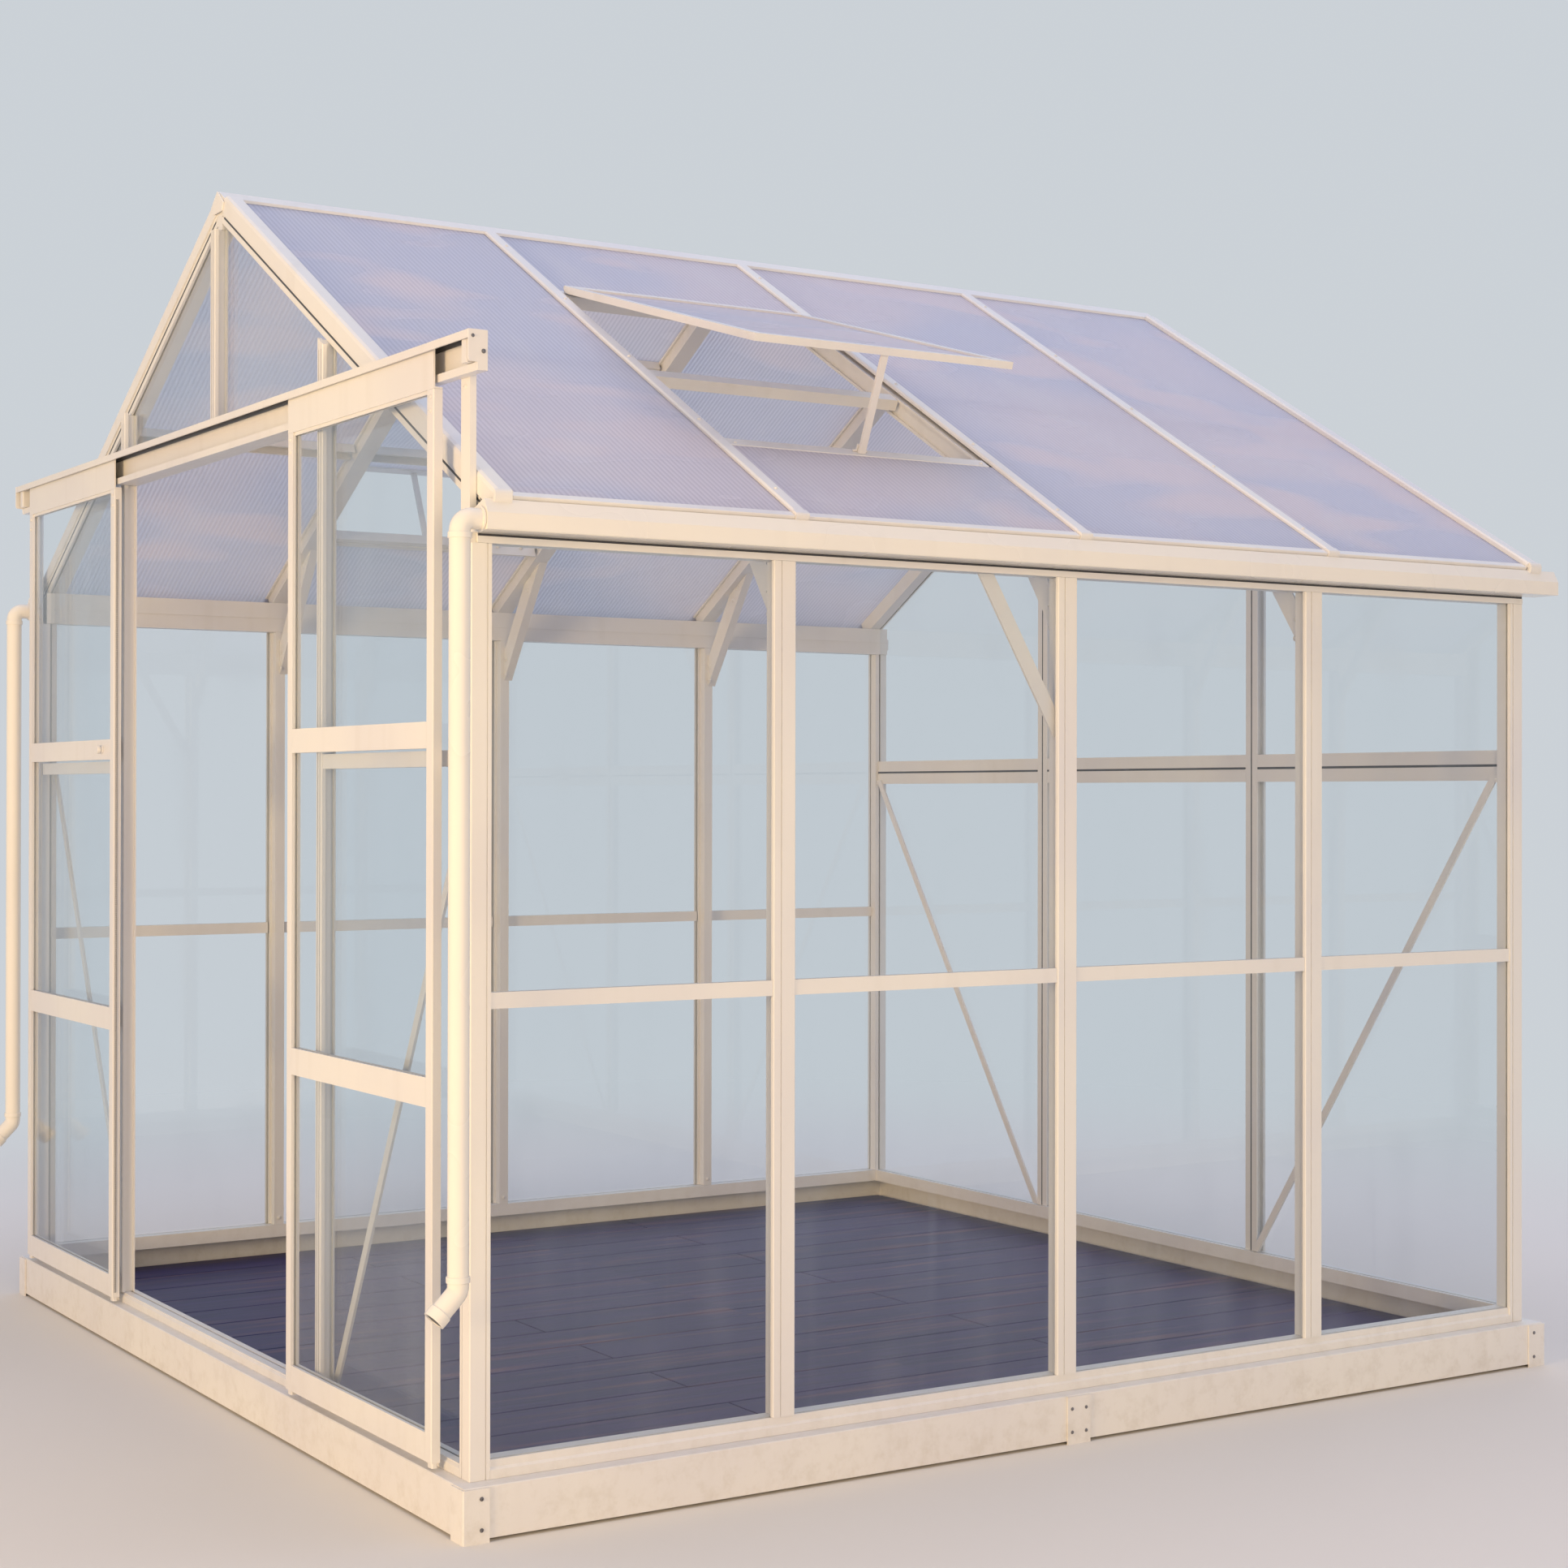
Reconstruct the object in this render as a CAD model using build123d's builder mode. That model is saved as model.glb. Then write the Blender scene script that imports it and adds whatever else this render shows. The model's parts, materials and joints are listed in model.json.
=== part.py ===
import math
import os

from build123d import *

os.makedirs("parts", exist_ok=True)

# Overall size, mm. X runs across the gable, Y along the ridge, the doors face -Y.
length = 2440.0
width = 2420.0
base_height = 88.0
wall_top = 1570.0
roof_pitch = 30.0
eave_rise = 70.4
eave_overhang = 19.0
roof_setback = 36.0

# Clearances
seat = 0.3
sheet_joint = 4.0

# Base
panel_lift = 6.0
panel_steel = 3.0
panel_flange = 42.0
panel_lip = 18.0
bracket_leg = 46.0
bracket_steel = 3.0
bracket_drop = 2.0
splice_width = 52.0
floor_thickness = 38.0

# Walls: an outer flange, a pane slot and an inner bead on every bar
side_setback = 32.0
gable_setback = 24.0
post_depth = 40.0
post_width = 44.0
post_web = 24.0
post_bead = 36.0
post_groove = 7.0
corner_post = 36.0
corner_groove = 27.0
flange = 8.0
bead = 3.4
edge_break = 1.5
groove = 2.4
groove_depth = 2.0
glass = 4.0
pane_lap = 6.0
side_pane = 8.0
sill_height = 30.0
sill_shoulder = 14.0
sill_step = 4.0
threshold_height = 20.0
beam_groove = 11.0
beam_groove_height = 4.0
beam_room_groove = 22.0
beam_room_groove_height = 11.0
side_rail_top = 858.0
side_rail_height = 26.0
side_rail_back = 18.0
rail_recess = 2.0

# Gables
gable_pane = 20.0
stud_width = 25.0
stud_web = 13.0
stud_bead = 22.0
stud_groove = 5.0
jamb_x = 551.0
rear_stud_x = 392.0
rear_stud_width = 38.0
rear_stud_web = 20.0
front_rail_top = 1243.0
front_rail_height = 26.0
head_rail_height = 26.0
rear_rail_top = 1268.0
rear_rail_height = 63.0
brace_width = 20.0
brace_depth = 5.0
brace_lap = 10.0
brace_lift = 2.0

# Roof, measured down the slope from the ridge line and square to it
sheet = 6.0
sheet_gap = 14.0
bar_depth = 38.0
bar_width = 40.0
bar_web = 28.0
bar_flange = 5.0
bar_overrun = 12.0
rafter_groove = 30.0
ridge_beam_width = 24.0
ridge_beam_height = 56.0
purlin_x = 655.0
purlin_width = 32.0
purlin_depth = 22.0
purlin_drop = 2.0
purlin_steel = 3.0
cap_height = 7.0
cap_width = 26.0
cap_break = 3.0
edge_cap_height = 11.0
edge_cap_width = 34.0
edge_cap_round = 8.0
edge_lap = 22.0
edge_steel = 3.0
ridge_cap_leg = 30.0
ridge_cap_steel = 5.0

# Roof vents
vent_bay = 1
vent_top_x = 318.0
vent_bottom_x = 953.0
vent_bar = 30.0
vent_bar_rise = 1.0
vent_bar_depth = 26.0
vent_open = 14.4
sash_length = 748.0
sash_bar = 24.0
sash_depth = 14.0
sash_side_gap = 2.0
sash_sheet_lift = 4.0
prop_width = 14.0
prop_thickness = 6.0

# Knee braces at each side post, and one long brace in the right wall
knee_angle = 55.5
knee_drop = 103.0
knee_foot = 76.0
knee_steel = 4.0
knee_flange = 18.0
knee_flange_steel = 3.0
wall_brace_run = 178.0
wall_brace_drop = 303.0
wall_brace_foot = 34.0
wall_brace_steel = 5.0

# Door track, set out from the front face of the base
track_overrun = 25.0
track_rise = 325.0
track_height = 63.0
track_steel = 3.0
track_reach = 10.0
track_lip = 13.0
rail_inset = 6.0
upright_width = 33.0
upright_depth = 11.0
upright_inset = 6.0
upright_steel = 3.0

# Doors
door_width = 625.0
door_depth = 16.0
door_front = 2.0
door_bottom = 102.0
door_stile = 24.0
right_parking = 144.0
left_parking = 84.0
upper_rail_top = 1289.0
upper_rail_height = 43.0
lower_rail_top = 717.0
lower_rail_height = 48.0
bottom_rail_height = 46.0
fascia_drop = 9.0
fascia_height = 64.0
fascia_steel = 3.0
glazing_lip = 2.5
roller_tread = 9.0
roller_flange = 11.0
roller_axle = 4.0
roller_side_gap = 1.0
roller_cheek = 1.5
roller_inset = 60.0
knob_inset = 78.0
knob_radius = 9.0
knob_neck = 6.0
knob_plate = 3.0
knob_reach = 12.0

# Rain goods
gutter_rise = 15.0
gutter_reach = 66.0
gutter_face = 27.0
gutter_height = 49.0
gutter_lean = 12.0
gutter_back_height = 30.0
gutter_steel = 2.5
gutter_end = 3.0
gutter_setback = 20.0
gutter_overrun = 8.0
pipe_radius = 17.0
pipe_inset = 22.0
pipe_rise = 17.0
pipe_reach = 17.0
pipe_bend = 20.0
pipe_foot = 400.0
pipe_kick = 40.0

# Derived values
half_length = length / 2
half_width = width / 2
pitch = math.radians(roof_pitch)
cosine = math.cos(pitch)
sine = math.sin(pitch)
slope = math.tan(pitch)
eave_x = half_width + eave_overhang
ridge_top = wall_top + eave_rise + eave_x * slope
roof_half = half_length - roof_setback
wall_x = half_width - side_setback
wall_y = half_length - gable_setback
inner_x = wall_x - post_depth
corner_x = wall_x - corner_post
corner_y = wall_y - corner_post
sill_bottom = base_height + seat
sill_top = sill_bottom + sill_height
threshold_top = sill_bottom + threshold_height
slot = glass + 2 * seat
slot_depth = pane_lap + seat
stud_depth = gable_pane + slot + bead
roof_under = sheet + seat + bar_depth
bay = length / 4
stations = [-bay, 0.0, bay]
front_face = -half_length
track_half = half_width + track_overrun
track_top = wall_top + track_rise
track_bottom = track_top - track_height
head_rail_top = track_bottom + head_rail_height

right_slope = Plane(origin=(0, 0, ridge_top), x_dir=(cosine, 0, -sine), z_dir=(sine, 0, cosine))
left_slope = Plane(origin=(0, 0, ridge_top), x_dir=(-cosine, 0, -sine), z_dir=(-sine, 0, cosine))
slopes = [(right_slope, 1), (left_slope, -1)]


def under_roof(x, drop):
    return ridge_top - abs(x) * slope - drop / cosine


# A plane square to the slope: its x is the world's Y, turned round on the left slope
def across_slope(plane, hand, distance):
    start = plane.origin + plane.x_dir * distance
    return Plane(origin=start, x_dir=(0, hand, 0), z_dir=plane.x_dir)


# A plane square to the ridge: its x runs down the slope, and an extrusion from it fills low to high
def along_ridge(plane, hand, low, high):
    start = high if hand > 0 else low
    origin = plane.origin + Vector(0, start, 0)
    return Plane(origin=origin, x_dir=plane.x_dir, z_dir=(0, -hand, 0))


# Outline of a glazed upright: its outer face lies on the local x axis, its depth runs along local y
def upright_profile(flange_width, web_width, bead_width, pane, tail):
    bead_front = pane + slot
    bead_back = bead_front + bead
    half = [
        (flange_width / 2 - edge_break, 0),
        (flange_width / 2, edge_break),
        (flange_width / 2, flange),
        (web_width / 2, flange),
        (web_width / 2, bead_front),
        (bead_width / 2, bead_front),
        (bead_width / 2, bead_back),
    ]
    if tail > 0:
        half.append((web_width / 2, bead_back))
        half.append((web_width / 2, bead_back + tail))
    return half + [(-u, v) for u, v in reversed(half)]


# Outline of a glazed rail as (depth behind the wall's face, height), with a pane slot above and below
def rail_profile(top, height, back, pane):
    low = top - height
    return [
        (rail_recess, low),
        (pane, low),
        (pane, low + slot_depth),
        (pane + slot, low + slot_depth),
        (pane + slot, low),
        (back, low),
        (back, top),
        (pane + slot, top),
        (pane + slot, top - slot_depth),
        (pane, top - slot_depth),
        (pane, top),
        (rail_recess, top),
    ]


# Outline of a sill as (depth behind the wall's face, height)
def sill_profile(back, top, pane):
    return [
        (0, sill_bottom),
        (back, sill_bottom),
        (back, top),
        (pane + slot, top),
        (pane + slot, top - slot_depth),
        (pane, top - slot_depth),
        (pane, top),
        (sill_step, top),
        (sill_step, sill_bottom + sill_shoulder + sill_step),
        (0, sill_bottom + sill_shoulder),
    ]


# Base panels: a folded channel on each side, clear of the ground on its brackets
with BuildPart() as base_rails:
    for plane, face, reach in (
        (Plane.XZ, half_width, half_length),
        (Plane.YZ, half_length, half_width - panel_flange - seat),
    ):
        with BuildSketch(plane):
            with BuildLine():
                Polyline(
                    (face, panel_lift),
                    (face, base_height - edge_break),
                    (face - edge_break, base_height),
                    (face - panel_flange, base_height),
                    (face - panel_flange, base_height - panel_steel),
                    (face - panel_steel, base_height - panel_steel),
                    (face - panel_steel, panel_lift + panel_steel),
                    (face - panel_lip, panel_lift + panel_steel),
                    (face - panel_lip, panel_lift),
                    close=True,
                )
            make_face()
            mirror(about=Plane.YZ)
        extrude(amount=reach, both=True)
base_rails.part.label = "base_rails"
export_step(base_rails.part, "parts/base_rails.step")

# Angle brackets round the four base corners and a splice plate on each long panel
with BuildPart() as base_brackets:
    outer_x = half_width + seat + bracket_steel
    outer_y = half_length + seat + bracket_steel
    with BuildSketch(Plane.XY):
        with BuildLine():
            Polyline(
                (outer_x, outer_y - edge_break),
                (outer_x - edge_break, outer_y),
                (outer_x - bracket_leg, outer_y),
                (outer_x - bracket_leg, outer_y - bracket_steel),
                (outer_x - bracket_steel, outer_y - bracket_steel),
                (outer_x - bracket_steel, outer_y - bracket_leg),
                (outer_x, outer_y - bracket_leg),
                close=True,
            )
        make_face()
        mirror(about=Plane.YZ)
        mirror(about=Plane.XZ)
        with GridLocations(2 * half_width + 2 * seat + bracket_steel, 0, 2, 1):
            Rectangle(bracket_steel, splice_width)
    extrude(amount=base_height - bracket_drop)
base_brackets.part.label = "base_brackets"
export_step(base_brackets.part, "parts/base_brackets.step")

# Floor deck between the base panels
with BuildPart() as floor_deck:
    with BuildSketch(Plane.XY):
        Rectangle(
            2 * (half_width - panel_lip - seat),
            2 * (half_length - panel_lip - seat),
        )
    extrude(amount=floor_thickness)
floor_deck.part.label = "floor_deck"
export_step(floor_deck.part, "parts/floor_deck.step")

# Long sills with a stepped outer face and a slot for the panes
with BuildPart() as side_sills:
    with BuildSketch(Plane.XZ):
        with BuildLine():
            Polyline(
                *[(wall_x - depth, z) for depth, z in sill_profile(post_depth, sill_top, side_pane)],
                close=True,
            )
        make_face()
        mirror(about=Plane.YZ)
    extrude(amount=corner_y - seat, both=True)
side_sills.part.label = "side_sills"
export_step(side_sills.part, "parts/side_sills.step")

# Rear sill and the lower door threshold
with BuildPart() as end_sills:
    with BuildSketch(Plane.YZ):
        with BuildLine():
            Polyline(
                *[(wall_y - depth, z) for depth, z in sill_profile(corner_post, sill_top, gable_pane)],
                close=True,
            )
        make_face()
        with BuildLine():
            Polyline(
                *[(depth - wall_y, z) for depth, z in sill_profile(corner_post, threshold_top, gable_pane)],
                close=True,
            )
        make_face()
    extrude(amount=corner_x - seat, both=True)
end_sills.part.label = "end_sills"
export_step(end_sills.part, "parts/end_sills.step")

# Corner posts: a slot for the panes of each wall and a groove down both outer faces
with BuildPart() as corner_posts:
    with BuildSketch(Plane.XY.offset(sill_bottom)):
        with BuildLine():
            Polyline(
                (corner_x, corner_y),
                (wall_x - side_pane - slot, corner_y),
                (wall_x - side_pane - slot, corner_y + slot_depth),
                (wall_x - side_pane, corner_y + slot_depth),
                (wall_x - side_pane, corner_y),
                (wall_x, corner_y),
                (wall_x, wall_y - corner_groove - groove),
                (wall_x - groove_depth, wall_y - corner_groove - groove),
                (wall_x - groove_depth, wall_y - corner_groove),
                (wall_x, wall_y - corner_groove),
                (wall_x, wall_y - edge_break),
                (wall_x - edge_break, wall_y),
                (wall_x - corner_groove, wall_y),
                (wall_x - corner_groove, wall_y - groove_depth),
                (wall_x - corner_groove - groove, wall_y - groove_depth),
                (wall_x - corner_groove - groove, wall_y),
                (corner_x, wall_y),
                (corner_x, wall_y - gable_pane),
                (corner_x + slot_depth, wall_y - gable_pane),
                (corner_x + slot_depth, wall_y - gable_pane - slot),
                (corner_x, wall_y - gable_pane - slot),
                close=True,
            )
        make_face()
        mirror(about=Plane.YZ)
        mirror(about=Plane.XZ)
    extrude(amount=wall_top - seat - sill_bottom)
corner_posts.part.label = "corner_posts"
export_step(corner_posts.part, "parts/corner_posts.step")

# Side posts at the frame stations, with one groove beside the middle of the outer face
side_places = []
for side in (1, -1):
    for y in stations:
        side_places.append(Location((side * wall_x, y, 0), (0, 0, side * 90)))
post_tail = post_depth - side_pane - slot - bead
post_profile = upright_profile(post_width, post_web, post_bead, side_pane, post_tail)
with BuildPart() as side_posts:
    with BuildSketch(Plane.XY.offset(sill_top + seat)):
        with Locations(*side_places):
            Polygon(*post_profile, align=None)
            with Locations((-post_groove, 0)):
                Rectangle(groove, 2 * groove_depth, mode=Mode.SUBTRACT)
    extrude(amount=wall_top - seat - sill_top - seat)
side_posts.part.label = "side_posts"
export_step(side_posts.part, "parts/side_posts.step")

# Bays between posts along each side: between the flanges, and between the webs for the panes
flange_half = post_width / 2 + seat
web_half = post_web / 2 + seat
rail_bays = [
    (-corner_y + seat, stations[0] - flange_half),
    (stations[0] + flange_half, stations[1] - flange_half),
    (stations[1] + flange_half, stations[2] - flange_half),
    (stations[2] + flange_half, corner_y - seat),
]
pane_bays = [
    (-corner_y - pane_lap, stations[0] - web_half),
    (stations[0] + web_half, stations[1] - web_half),
    (stations[1] + web_half, stations[2] - web_half),
    (stations[2] + web_half, corner_y + pane_lap),
]

# Mid rails between the side posts
side_rail_profile = rail_profile(side_rail_top, side_rail_height, side_rail_back, side_pane)
with BuildPart() as side_rails:
    for low, high in rail_bays:
        with BuildSketch(Plane.XZ.offset(-low)):
            with BuildLine():
                Polyline(*[(wall_x - depth, z) for depth, z in side_rail_profile], close=True)
            make_face()
            mirror(about=Plane.YZ)
        extrude(amount=low - high)
side_rails.part.label = "side_rails"
export_step(side_rails.part, "parts/side_rails.step")

# Eave beams: slotted underside for the panes, grooved outer face, top cut to the roof slope
beam_length = 2 * wall_y - upright_depth - seat
with BuildPart() as eave_beams:
    with BuildSketch(Plane.XZ.offset(-wall_y)):
        with BuildLine():
            Polyline(
                (inner_x, wall_top),
                (wall_x - side_pane - slot, wall_top),
                (wall_x - side_pane - slot, wall_top + slot_depth),
                (wall_x - side_pane, wall_top + slot_depth),
                (wall_x - side_pane, wall_top),
                (wall_x, wall_top),
                (wall_x, wall_top + beam_groove),
                (wall_x - groove_depth, wall_top + beam_groove),
                (wall_x - groove_depth, wall_top + beam_groove + beam_groove_height),
                (wall_x, wall_top + beam_groove + beam_groove_height),
                (wall_x, under_roof(wall_x, roof_under + seat)),
                (inner_x, under_roof(inner_x, roof_under + seat)),
                (inner_x, wall_top + beam_room_groove + beam_room_groove_height),
                (inner_x + groove_depth, wall_top + beam_room_groove + beam_room_groove_height),
                (inner_x + groove_depth, wall_top + beam_room_groove),
                (inner_x, wall_top + beam_room_groove),
                close=True,
            )
        make_face()
        mirror(about=Plane.YZ)
    extrude(amount=beam_length)
eave_beams.part.label = "eave_beams"
export_step(eave_beams.part, "parts/eave_beams.step")

# Ridge beam between the roof bars
rafter_face = roof_half - edge_steel - seat
half_beam = ridge_beam_width / 2
ridge_beam_top = under_roof(half_beam, sheet + seat)
ridge_beam_bottom = ridge_beam_top - ridge_beam_height
with BuildPart() as ridge_beam:
    with BuildSketch(Plane.XZ):
        with BuildLine():
            Polyline(
                (-half_beam, ridge_beam_bottom),
                (half_beam, ridge_beam_bottom),
                (half_beam, ridge_beam_top),
                (0, under_roof(0, sheet + seat)),
                (-half_beam, ridge_beam_top),
                close=True,
            )
        make_face()
    extrude(amount=rafter_face, both=True)
ridge_beam.part.label = "ridge_beam"
export_step(ridge_beam.part, "parts/ridge_beam.step")

# The room that the ridge beam takes, cut from the upper ends of the roof bars
with BuildPart() as ridge_space:
    with BuildSketch(Plane.XZ):
        with Locations((0, ridge_top)):
            Rectangle(2 * (half_beam + seat), 2 * roof_under / cosine + 2 * ridge_beam_height)
    extrude(amount=length, both=True)

# Everything above the underside of the roof bars, cut from the gable studs
with BuildPart() as roof_space:
    with BuildSketch(Plane.XZ):
        with BuildLine():
            Polyline(
                (0, under_roof(0, roof_under + seat)),
                (width, under_roof(width, roof_under + seat)),
                (width, 2 * ridge_top),
                (-width, 2 * ridge_top),
                (-width, under_roof(width, roof_under + seat)),
                close=True,
            )
        make_face()
    extrude(amount=length, both=True)

# Roof bars at the stations: two flanges and a web, run down each slope
bar_end = (wall_x + bar_overrun) / cosine
bar_top = -sheet - seat
bar_bottom = -roof_under
half_bar = bar_width / 2
half_web = bar_web / 2
with BuildPart() as roof_bars:
    for plane, hand in slopes:
        with BuildSketch(across_slope(plane, hand, 0)):
            with Locations(*[(y, 0) for y in stations]):
                Polygon(
                    (-half_bar, bar_bottom),
                    (half_bar, bar_bottom),
                    (half_bar, bar_bottom + bar_flange),
                    (half_web, bar_bottom + bar_flange),
                    (half_web, bar_top - bar_flange),
                    (half_bar, bar_top - bar_flange),
                    (half_bar, bar_top),
                    (-half_bar, bar_top),
                    (-half_bar, bar_top - bar_flange),
                    (-half_web, bar_top - bar_flange),
                    (-half_web, bar_bottom + bar_flange),
                    (-half_bar, bar_bottom + bar_flange),
                    align=None,
                )
        extrude(amount=bar_end)
    add(ridge_space.part, mode=Mode.SUBTRACT)
roof_bars.part.label = "roof_bars"
export_step(roof_bars.part, "parts/roof_bars.step")

# Gable rafters: grooved outer face, slotted underside for the gable panes
pane_face = wall_y - gable_pane
rafter_back = rafter_face - bar_width
with BuildPart() as gable_rafters:
    for plane, hand in slopes:
        with BuildSketch(across_slope(plane, hand, 0)):
            with BuildLine():
                Polyline(
                    (rafter_back, bar_bottom),
                    (pane_face - slot, bar_bottom),
                    (pane_face - slot, bar_bottom + slot_depth),
                    (pane_face, bar_bottom + slot_depth),
                    (pane_face, bar_bottom),
                    (rafter_face, bar_bottom),
                    (rafter_face, -rafter_groove - groove),
                    (rafter_face - groove_depth, -rafter_groove - groove),
                    (rafter_face - groove_depth, -rafter_groove),
                    (rafter_face, -rafter_groove),
                    (rafter_face, bar_top),
                    (rafter_back, bar_top),
                    close=True,
                )
            make_face()
            mirror(about=Plane.YZ)
        extrude(amount=bar_end)
    add(ridge_space.part, mode=Mode.SUBTRACT)
gable_rafters.part.label = "gable_rafters"
export_step(gable_rafters.part, "parts/gable_rafters.step")

# Clear widths between roof bars
roof_bays = [
    (-rafter_back + seat, stations[0] - half_bar - seat),
    (stations[0] + half_bar + seat, stations[1] - half_bar - seat),
    (stations[1] + half_bar + seat, stations[2] - half_bar - seat),
    (stations[2] + half_bar + seat, rafter_back - seat),
]

# Channel purlins half way down each slope, and the bars above and below each roof vent
vent_low, vent_high = roof_bays[vent_bay]
vent_mid = (vent_low + vent_high) / 2
purlin_top = bar_top - purlin_drop
half_purlin = purlin_width / 2
half_vent_bar = vent_bar / 2
with BuildPart() as cross_bars:
    for plane, hand in slopes:
        for low, high in roof_bays:
            with BuildSketch(along_ridge(plane, hand, low, high)):
                with Locations((purlin_x / cosine, purlin_top)):
                    Polygon(
                        (-half_purlin, -purlin_depth),
                        (-half_purlin + purlin_steel, -purlin_depth),
                        (-half_purlin + purlin_steel, -purlin_steel),
                        (half_purlin - purlin_steel, -purlin_steel),
                        (half_purlin - purlin_steel, -purlin_depth),
                        (half_purlin, -purlin_depth),
                        (half_purlin, 0),
                        (-half_purlin, 0),
                        align=None,
                    )
            extrude(amount=high - low)
        with BuildSketch(along_ridge(plane, hand, vent_low, vent_high)):
            for x in (vent_top_x, vent_bottom_x):
                with Locations((x / cosine, vent_bar_rise)):
                    Polygon(
                        (-half_vent_bar, -vent_bar_depth),
                        (-groove, -vent_bar_depth),
                        (-groove, groove_depth - vent_bar_depth),
                        (groove, groove_depth - vent_bar_depth),
                        (groove, -vent_bar_depth),
                        (half_vent_bar, -vent_bar_depth),
                        (half_vent_bar, -edge_break),
                        (half_vent_bar - edge_break, 0),
                        (edge_break - half_vent_bar, 0),
                        (-half_vent_bar, -edge_break),
                        align=None,
                    )
        extrude(amount=vent_high - vent_low)
cross_bars.part.label = "cross_bars"
export_step(cross_bars.part, "parts/cross_bars.step")

# Roof sheets, one to a bay, split round the vent
sheet_end = eave_x / cosine
vent_edge = half_vent_bar + seat
sheet_bays = [
    (-rafter_face, stations[0] - sheet_joint / 2),
    (stations[0] + sheet_joint / 2, stations[1] - sheet_joint / 2),
    (stations[1] + sheet_joint / 2, stations[2] - sheet_joint / 2),
    (stations[2] + sheet_joint / 2, rafter_face),
]
for plane, hand in slopes:
    with BuildPart() as roof_sheets:
        with BuildSketch(plane):
            for i, (low, high) in enumerate(sheet_bays):
                if i == vent_bay:
                    spans = [
                        (sheet_gap, vent_top_x / cosine - vent_edge),
                        (vent_bottom_x / cosine + vent_edge, sheet_end),
                    ]
                else:
                    spans = [(sheet_gap, sheet_end)]
                for first, last in spans:
                    with Locations(((first + last) / 2, hand * (low + high) / 2)):
                        Rectangle(last - first, high - low)
        extrude(amount=-sheet)
    name = "roof_sheets_right" if hand > 0 else "roof_sheets_left"
    roof_sheets.part.label = name
    export_step(roof_sheets.part, "parts/" + name + ".step")

# Glazing caps over the bars, and round-shouldered covers folded over the gable edges
cap_start = ridge_cap_leg / cosine + seat
half_cap = cap_width / 2
round_middle = edge_cap_round * (1 - math.sqrt(0.5))
edge_inner = roof_half - edge_cap_width
with BuildPart() as roof_caps:
    for plane, hand in slopes:
        with BuildSketch(across_slope(plane, hand, cap_start)):
            with Locations(*[(hand * y, 0) for y in stations]):
                Polygon(
                    (-half_cap, seat),
                    (half_cap, seat),
                    (half_cap, cap_height - cap_break),
                    (half_cap - cap_break, cap_height),
                    (cap_break - half_cap, cap_height),
                    (-half_cap, cap_height - cap_break),
                    align=None,
                )
            with BuildLine():
                Polyline(
                    (edge_inner, seat),
                    (roof_half - edge_steel, seat),
                    (roof_half - edge_steel, -edge_lap),
                    (roof_half, -edge_lap),
                    (roof_half, edge_cap_height - edge_cap_round),
                    (roof_half - round_middle, edge_cap_height - round_middle),
                    (roof_half - edge_cap_round, edge_cap_height),
                    (edge_inner + cap_break, edge_cap_height),
                    (edge_inner, edge_cap_height - cap_break),
                    close=True,
                )
            make_face()
            with BuildLine():
                Polyline(
                    (-edge_inner, seat),
                    (edge_steel - roof_half, seat),
                    (edge_steel - roof_half, -edge_lap),
                    (-roof_half, -edge_lap),
                    (-roof_half, edge_cap_height - edge_cap_round),
                    (round_middle - roof_half, edge_cap_height - round_middle),
                    (edge_cap_round - roof_half, edge_cap_height),
                    (-edge_inner - cap_break, edge_cap_height),
                    (-edge_inner, edge_cap_height - cap_break),
                    close=True,
                )
            make_face()
        extrude(amount=sheet_end - cap_start)
roof_caps.part.label = "roof_caps"
export_step(roof_caps.part, "parts/roof_caps.step")

# Ridge cap folded over the top edges of both slopes
with BuildPart() as ridge_cap:
    with BuildSketch(Plane.XZ):
        with BuildLine():
            Polyline(
                (0, under_roof(0, -seat)),
                (ridge_cap_leg, under_roof(ridge_cap_leg, -seat)),
                (ridge_cap_leg, under_roof(ridge_cap_leg, -seat - ridge_cap_steel)),
                (0, under_roof(0, -seat - ridge_cap_steel)),
                (-ridge_cap_leg, under_roof(ridge_cap_leg, -seat - ridge_cap_steel)),
                (-ridge_cap_leg, under_roof(ridge_cap_leg, -seat)),
                close=True,
            )
        make_face()
    extrude(amount=roof_half, both=True)
ridge_cap.part.label = "ridge_cap"
export_step(ridge_cap.part, "parts/ridge_cap.step")

# Roof vents, held open on props
sash_width = vent_high - vent_low - 2 * sash_side_gap
lift = math.radians(vent_open)
hinge = vent_top_x / cosine
sash_planes = []
for plane, hand in slopes:
    start = plane.origin + plane.x_dir * hinge + plane.z_dir * (vent_bar_rise + seat)
    start = start + Vector(0, vent_mid, 0)
    along = plane.x_dir * math.cos(lift) + plane.z_dir * math.sin(lift)
    upward = plane.z_dir * math.cos(lift) - plane.x_dir * math.sin(lift)
    sash_planes.append(Plane(origin=start, x_dir=along, z_dir=upward))

with BuildPart() as vent_frames:
    for plane in sash_planes:
        with BuildSketch(plane):
            with Locations((sash_length / 2, 0)):
                with GridLocations(0, sash_width - sash_bar, 1, 2):
                    Rectangle(sash_length - 2 * sash_bar - 2 * seat, sash_bar)
                with GridLocations(sash_length - sash_bar, 0, 2, 1):
                    Rectangle(sash_bar, sash_width)
        extrude(amount=sash_depth)
vent_frames.part.label = "vent_frames"
export_step(vent_frames.part, "parts/vent_frames.step")

with BuildPart() as vent_sheets:
    for plane in sash_planes:
        with BuildSketch(plane.offset(sash_sheet_lift)):
            with Locations((sash_length / 2, 0)):
                Rectangle(sash_length - 2 * sash_bar - 2 * seat, sash_width - 2 * sash_bar - 2 * seat)
        extrude(amount=sheet)
vent_sheets.part.label = "vent_sheets"
export_step(vent_sheets.part, "parts/vent_sheets.step")

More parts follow.
